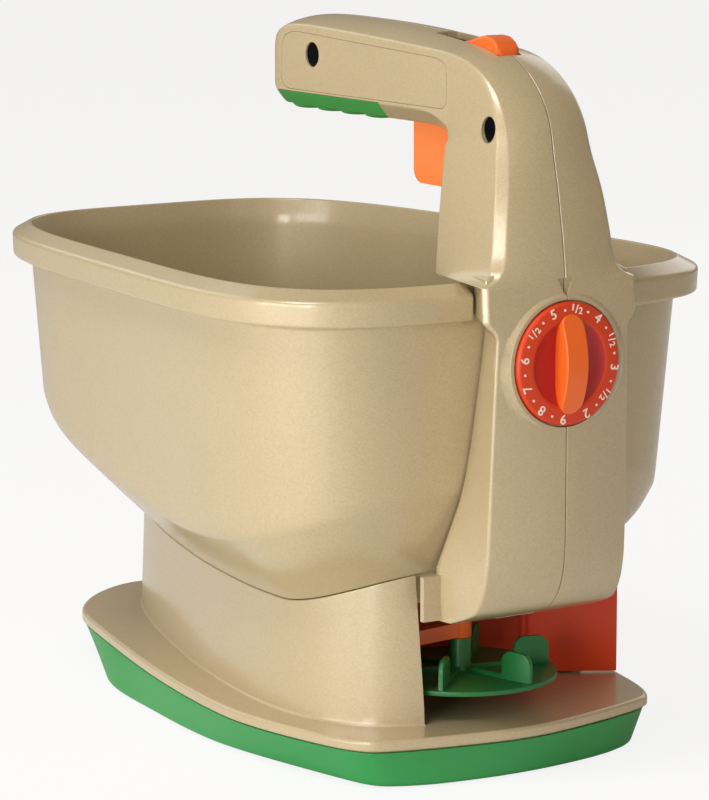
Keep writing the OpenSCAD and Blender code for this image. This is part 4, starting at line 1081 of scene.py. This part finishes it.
# %% [markdown]
# The other CAD solids keep their own shape. Each gets its material, and a
# narrow bevel whose shading runs smoothly into the faces beside it, because
# no moulded or machined edge is perfectly sharp.

# %% Finishes of the CAD pieces
smooth = bpy.data.node_groups.new("smooth_by_angle", "GeometryNodeTree")
smooth.interface.new_socket("Geometry", in_out="INPUT", socket_type="NodeSocketGeometry")
smooth.interface.new_socket("Geometry", in_out="OUTPUT", socket_type="NodeSocketGeometry")
inlet = add_node(smooth, "NodeGroupInput")
angle = add_node(smooth, "GeometryNodeInputMeshEdgeAngle")
flat_enough = add_node(smooth, "FunctionNodeCompare", {"data_type": "FLOAT", "operation": "LESS_EQUAL"},
                       i0=angle.outputs["Unsigned Angle"], i1=math.radians(32))
faces = add_node(smooth, "GeometryNodeSetShadeSmooth", {"domain": "FACE"}, Geometry=inlet.outputs[0])
edges = add_node(smooth, "GeometryNodeSetShadeSmooth", {"domain": "EDGE"}, Geometry=faces.outputs[0],
                 Shade_Smooth=flat_enough.outputs[0])
add_node(smooth, "NodeGroupOutput", Geometry=edges.outputs[0])


def finish_node(name, material, bevel):
    """Colour a CAD piece and break its edges by bevel mm."""
    piece = nodes[name]
    piece.data.materials.clear()
    piece.data.materials.append(material)
    weld = piece.modifiers.new("weld", "WELD")
    weld.merge_threshold = 0.002 * MM
    if bevel:
        edge = piece.modifiers.new("edge", "BEVEL")
        edge.width, edge.segments, edge.limit_method = bevel * MM, 2, "ANGLE"
        edge.angle_limit, edge.harden_normals = math.radians(40), False
    piece.modifiers.new("smooth", "NODES").node_group = smooth


FINISHES = {    # material and bevel in mm
    "trigger": (light_orange, 1.2), "deflector": (red_orange, 0.5), "spinner": (deep_green, 0.4),
    "flow_gate": (orange, 0.4), "pull_rod": (nylon, 0.4), "rate_cam": (nylon, 0.3),
    "power_switch": (black, 0.3), "batteries": (jacket, 0.4), "motor": (can, 0.4),
    "trigger_pin": (zinc, 0.3), "trigger_spring": (zinc, 0), "drive_shaft": (zinc, 0.2),
    "battery_contacts": (zinc, 0.1), "base_screws": (zinc, 0.3), "deflector_screws": (zinc, 0.3),
    # The shell screws' near black is painted shade at the bottom of the deep wells.
    "tower_screws": (zinc, 0.3), "shell_screws": (well_shade_oxide, 0.3), "motor_screws": (zinc, 0.2),
    "dial_screw": (zinc, 0.2)}
for name, (material, bevel) in FINISHES.items():
    finish_node(name, material, bevel)
print("finished", len(FINISHES), "CAD pieces")
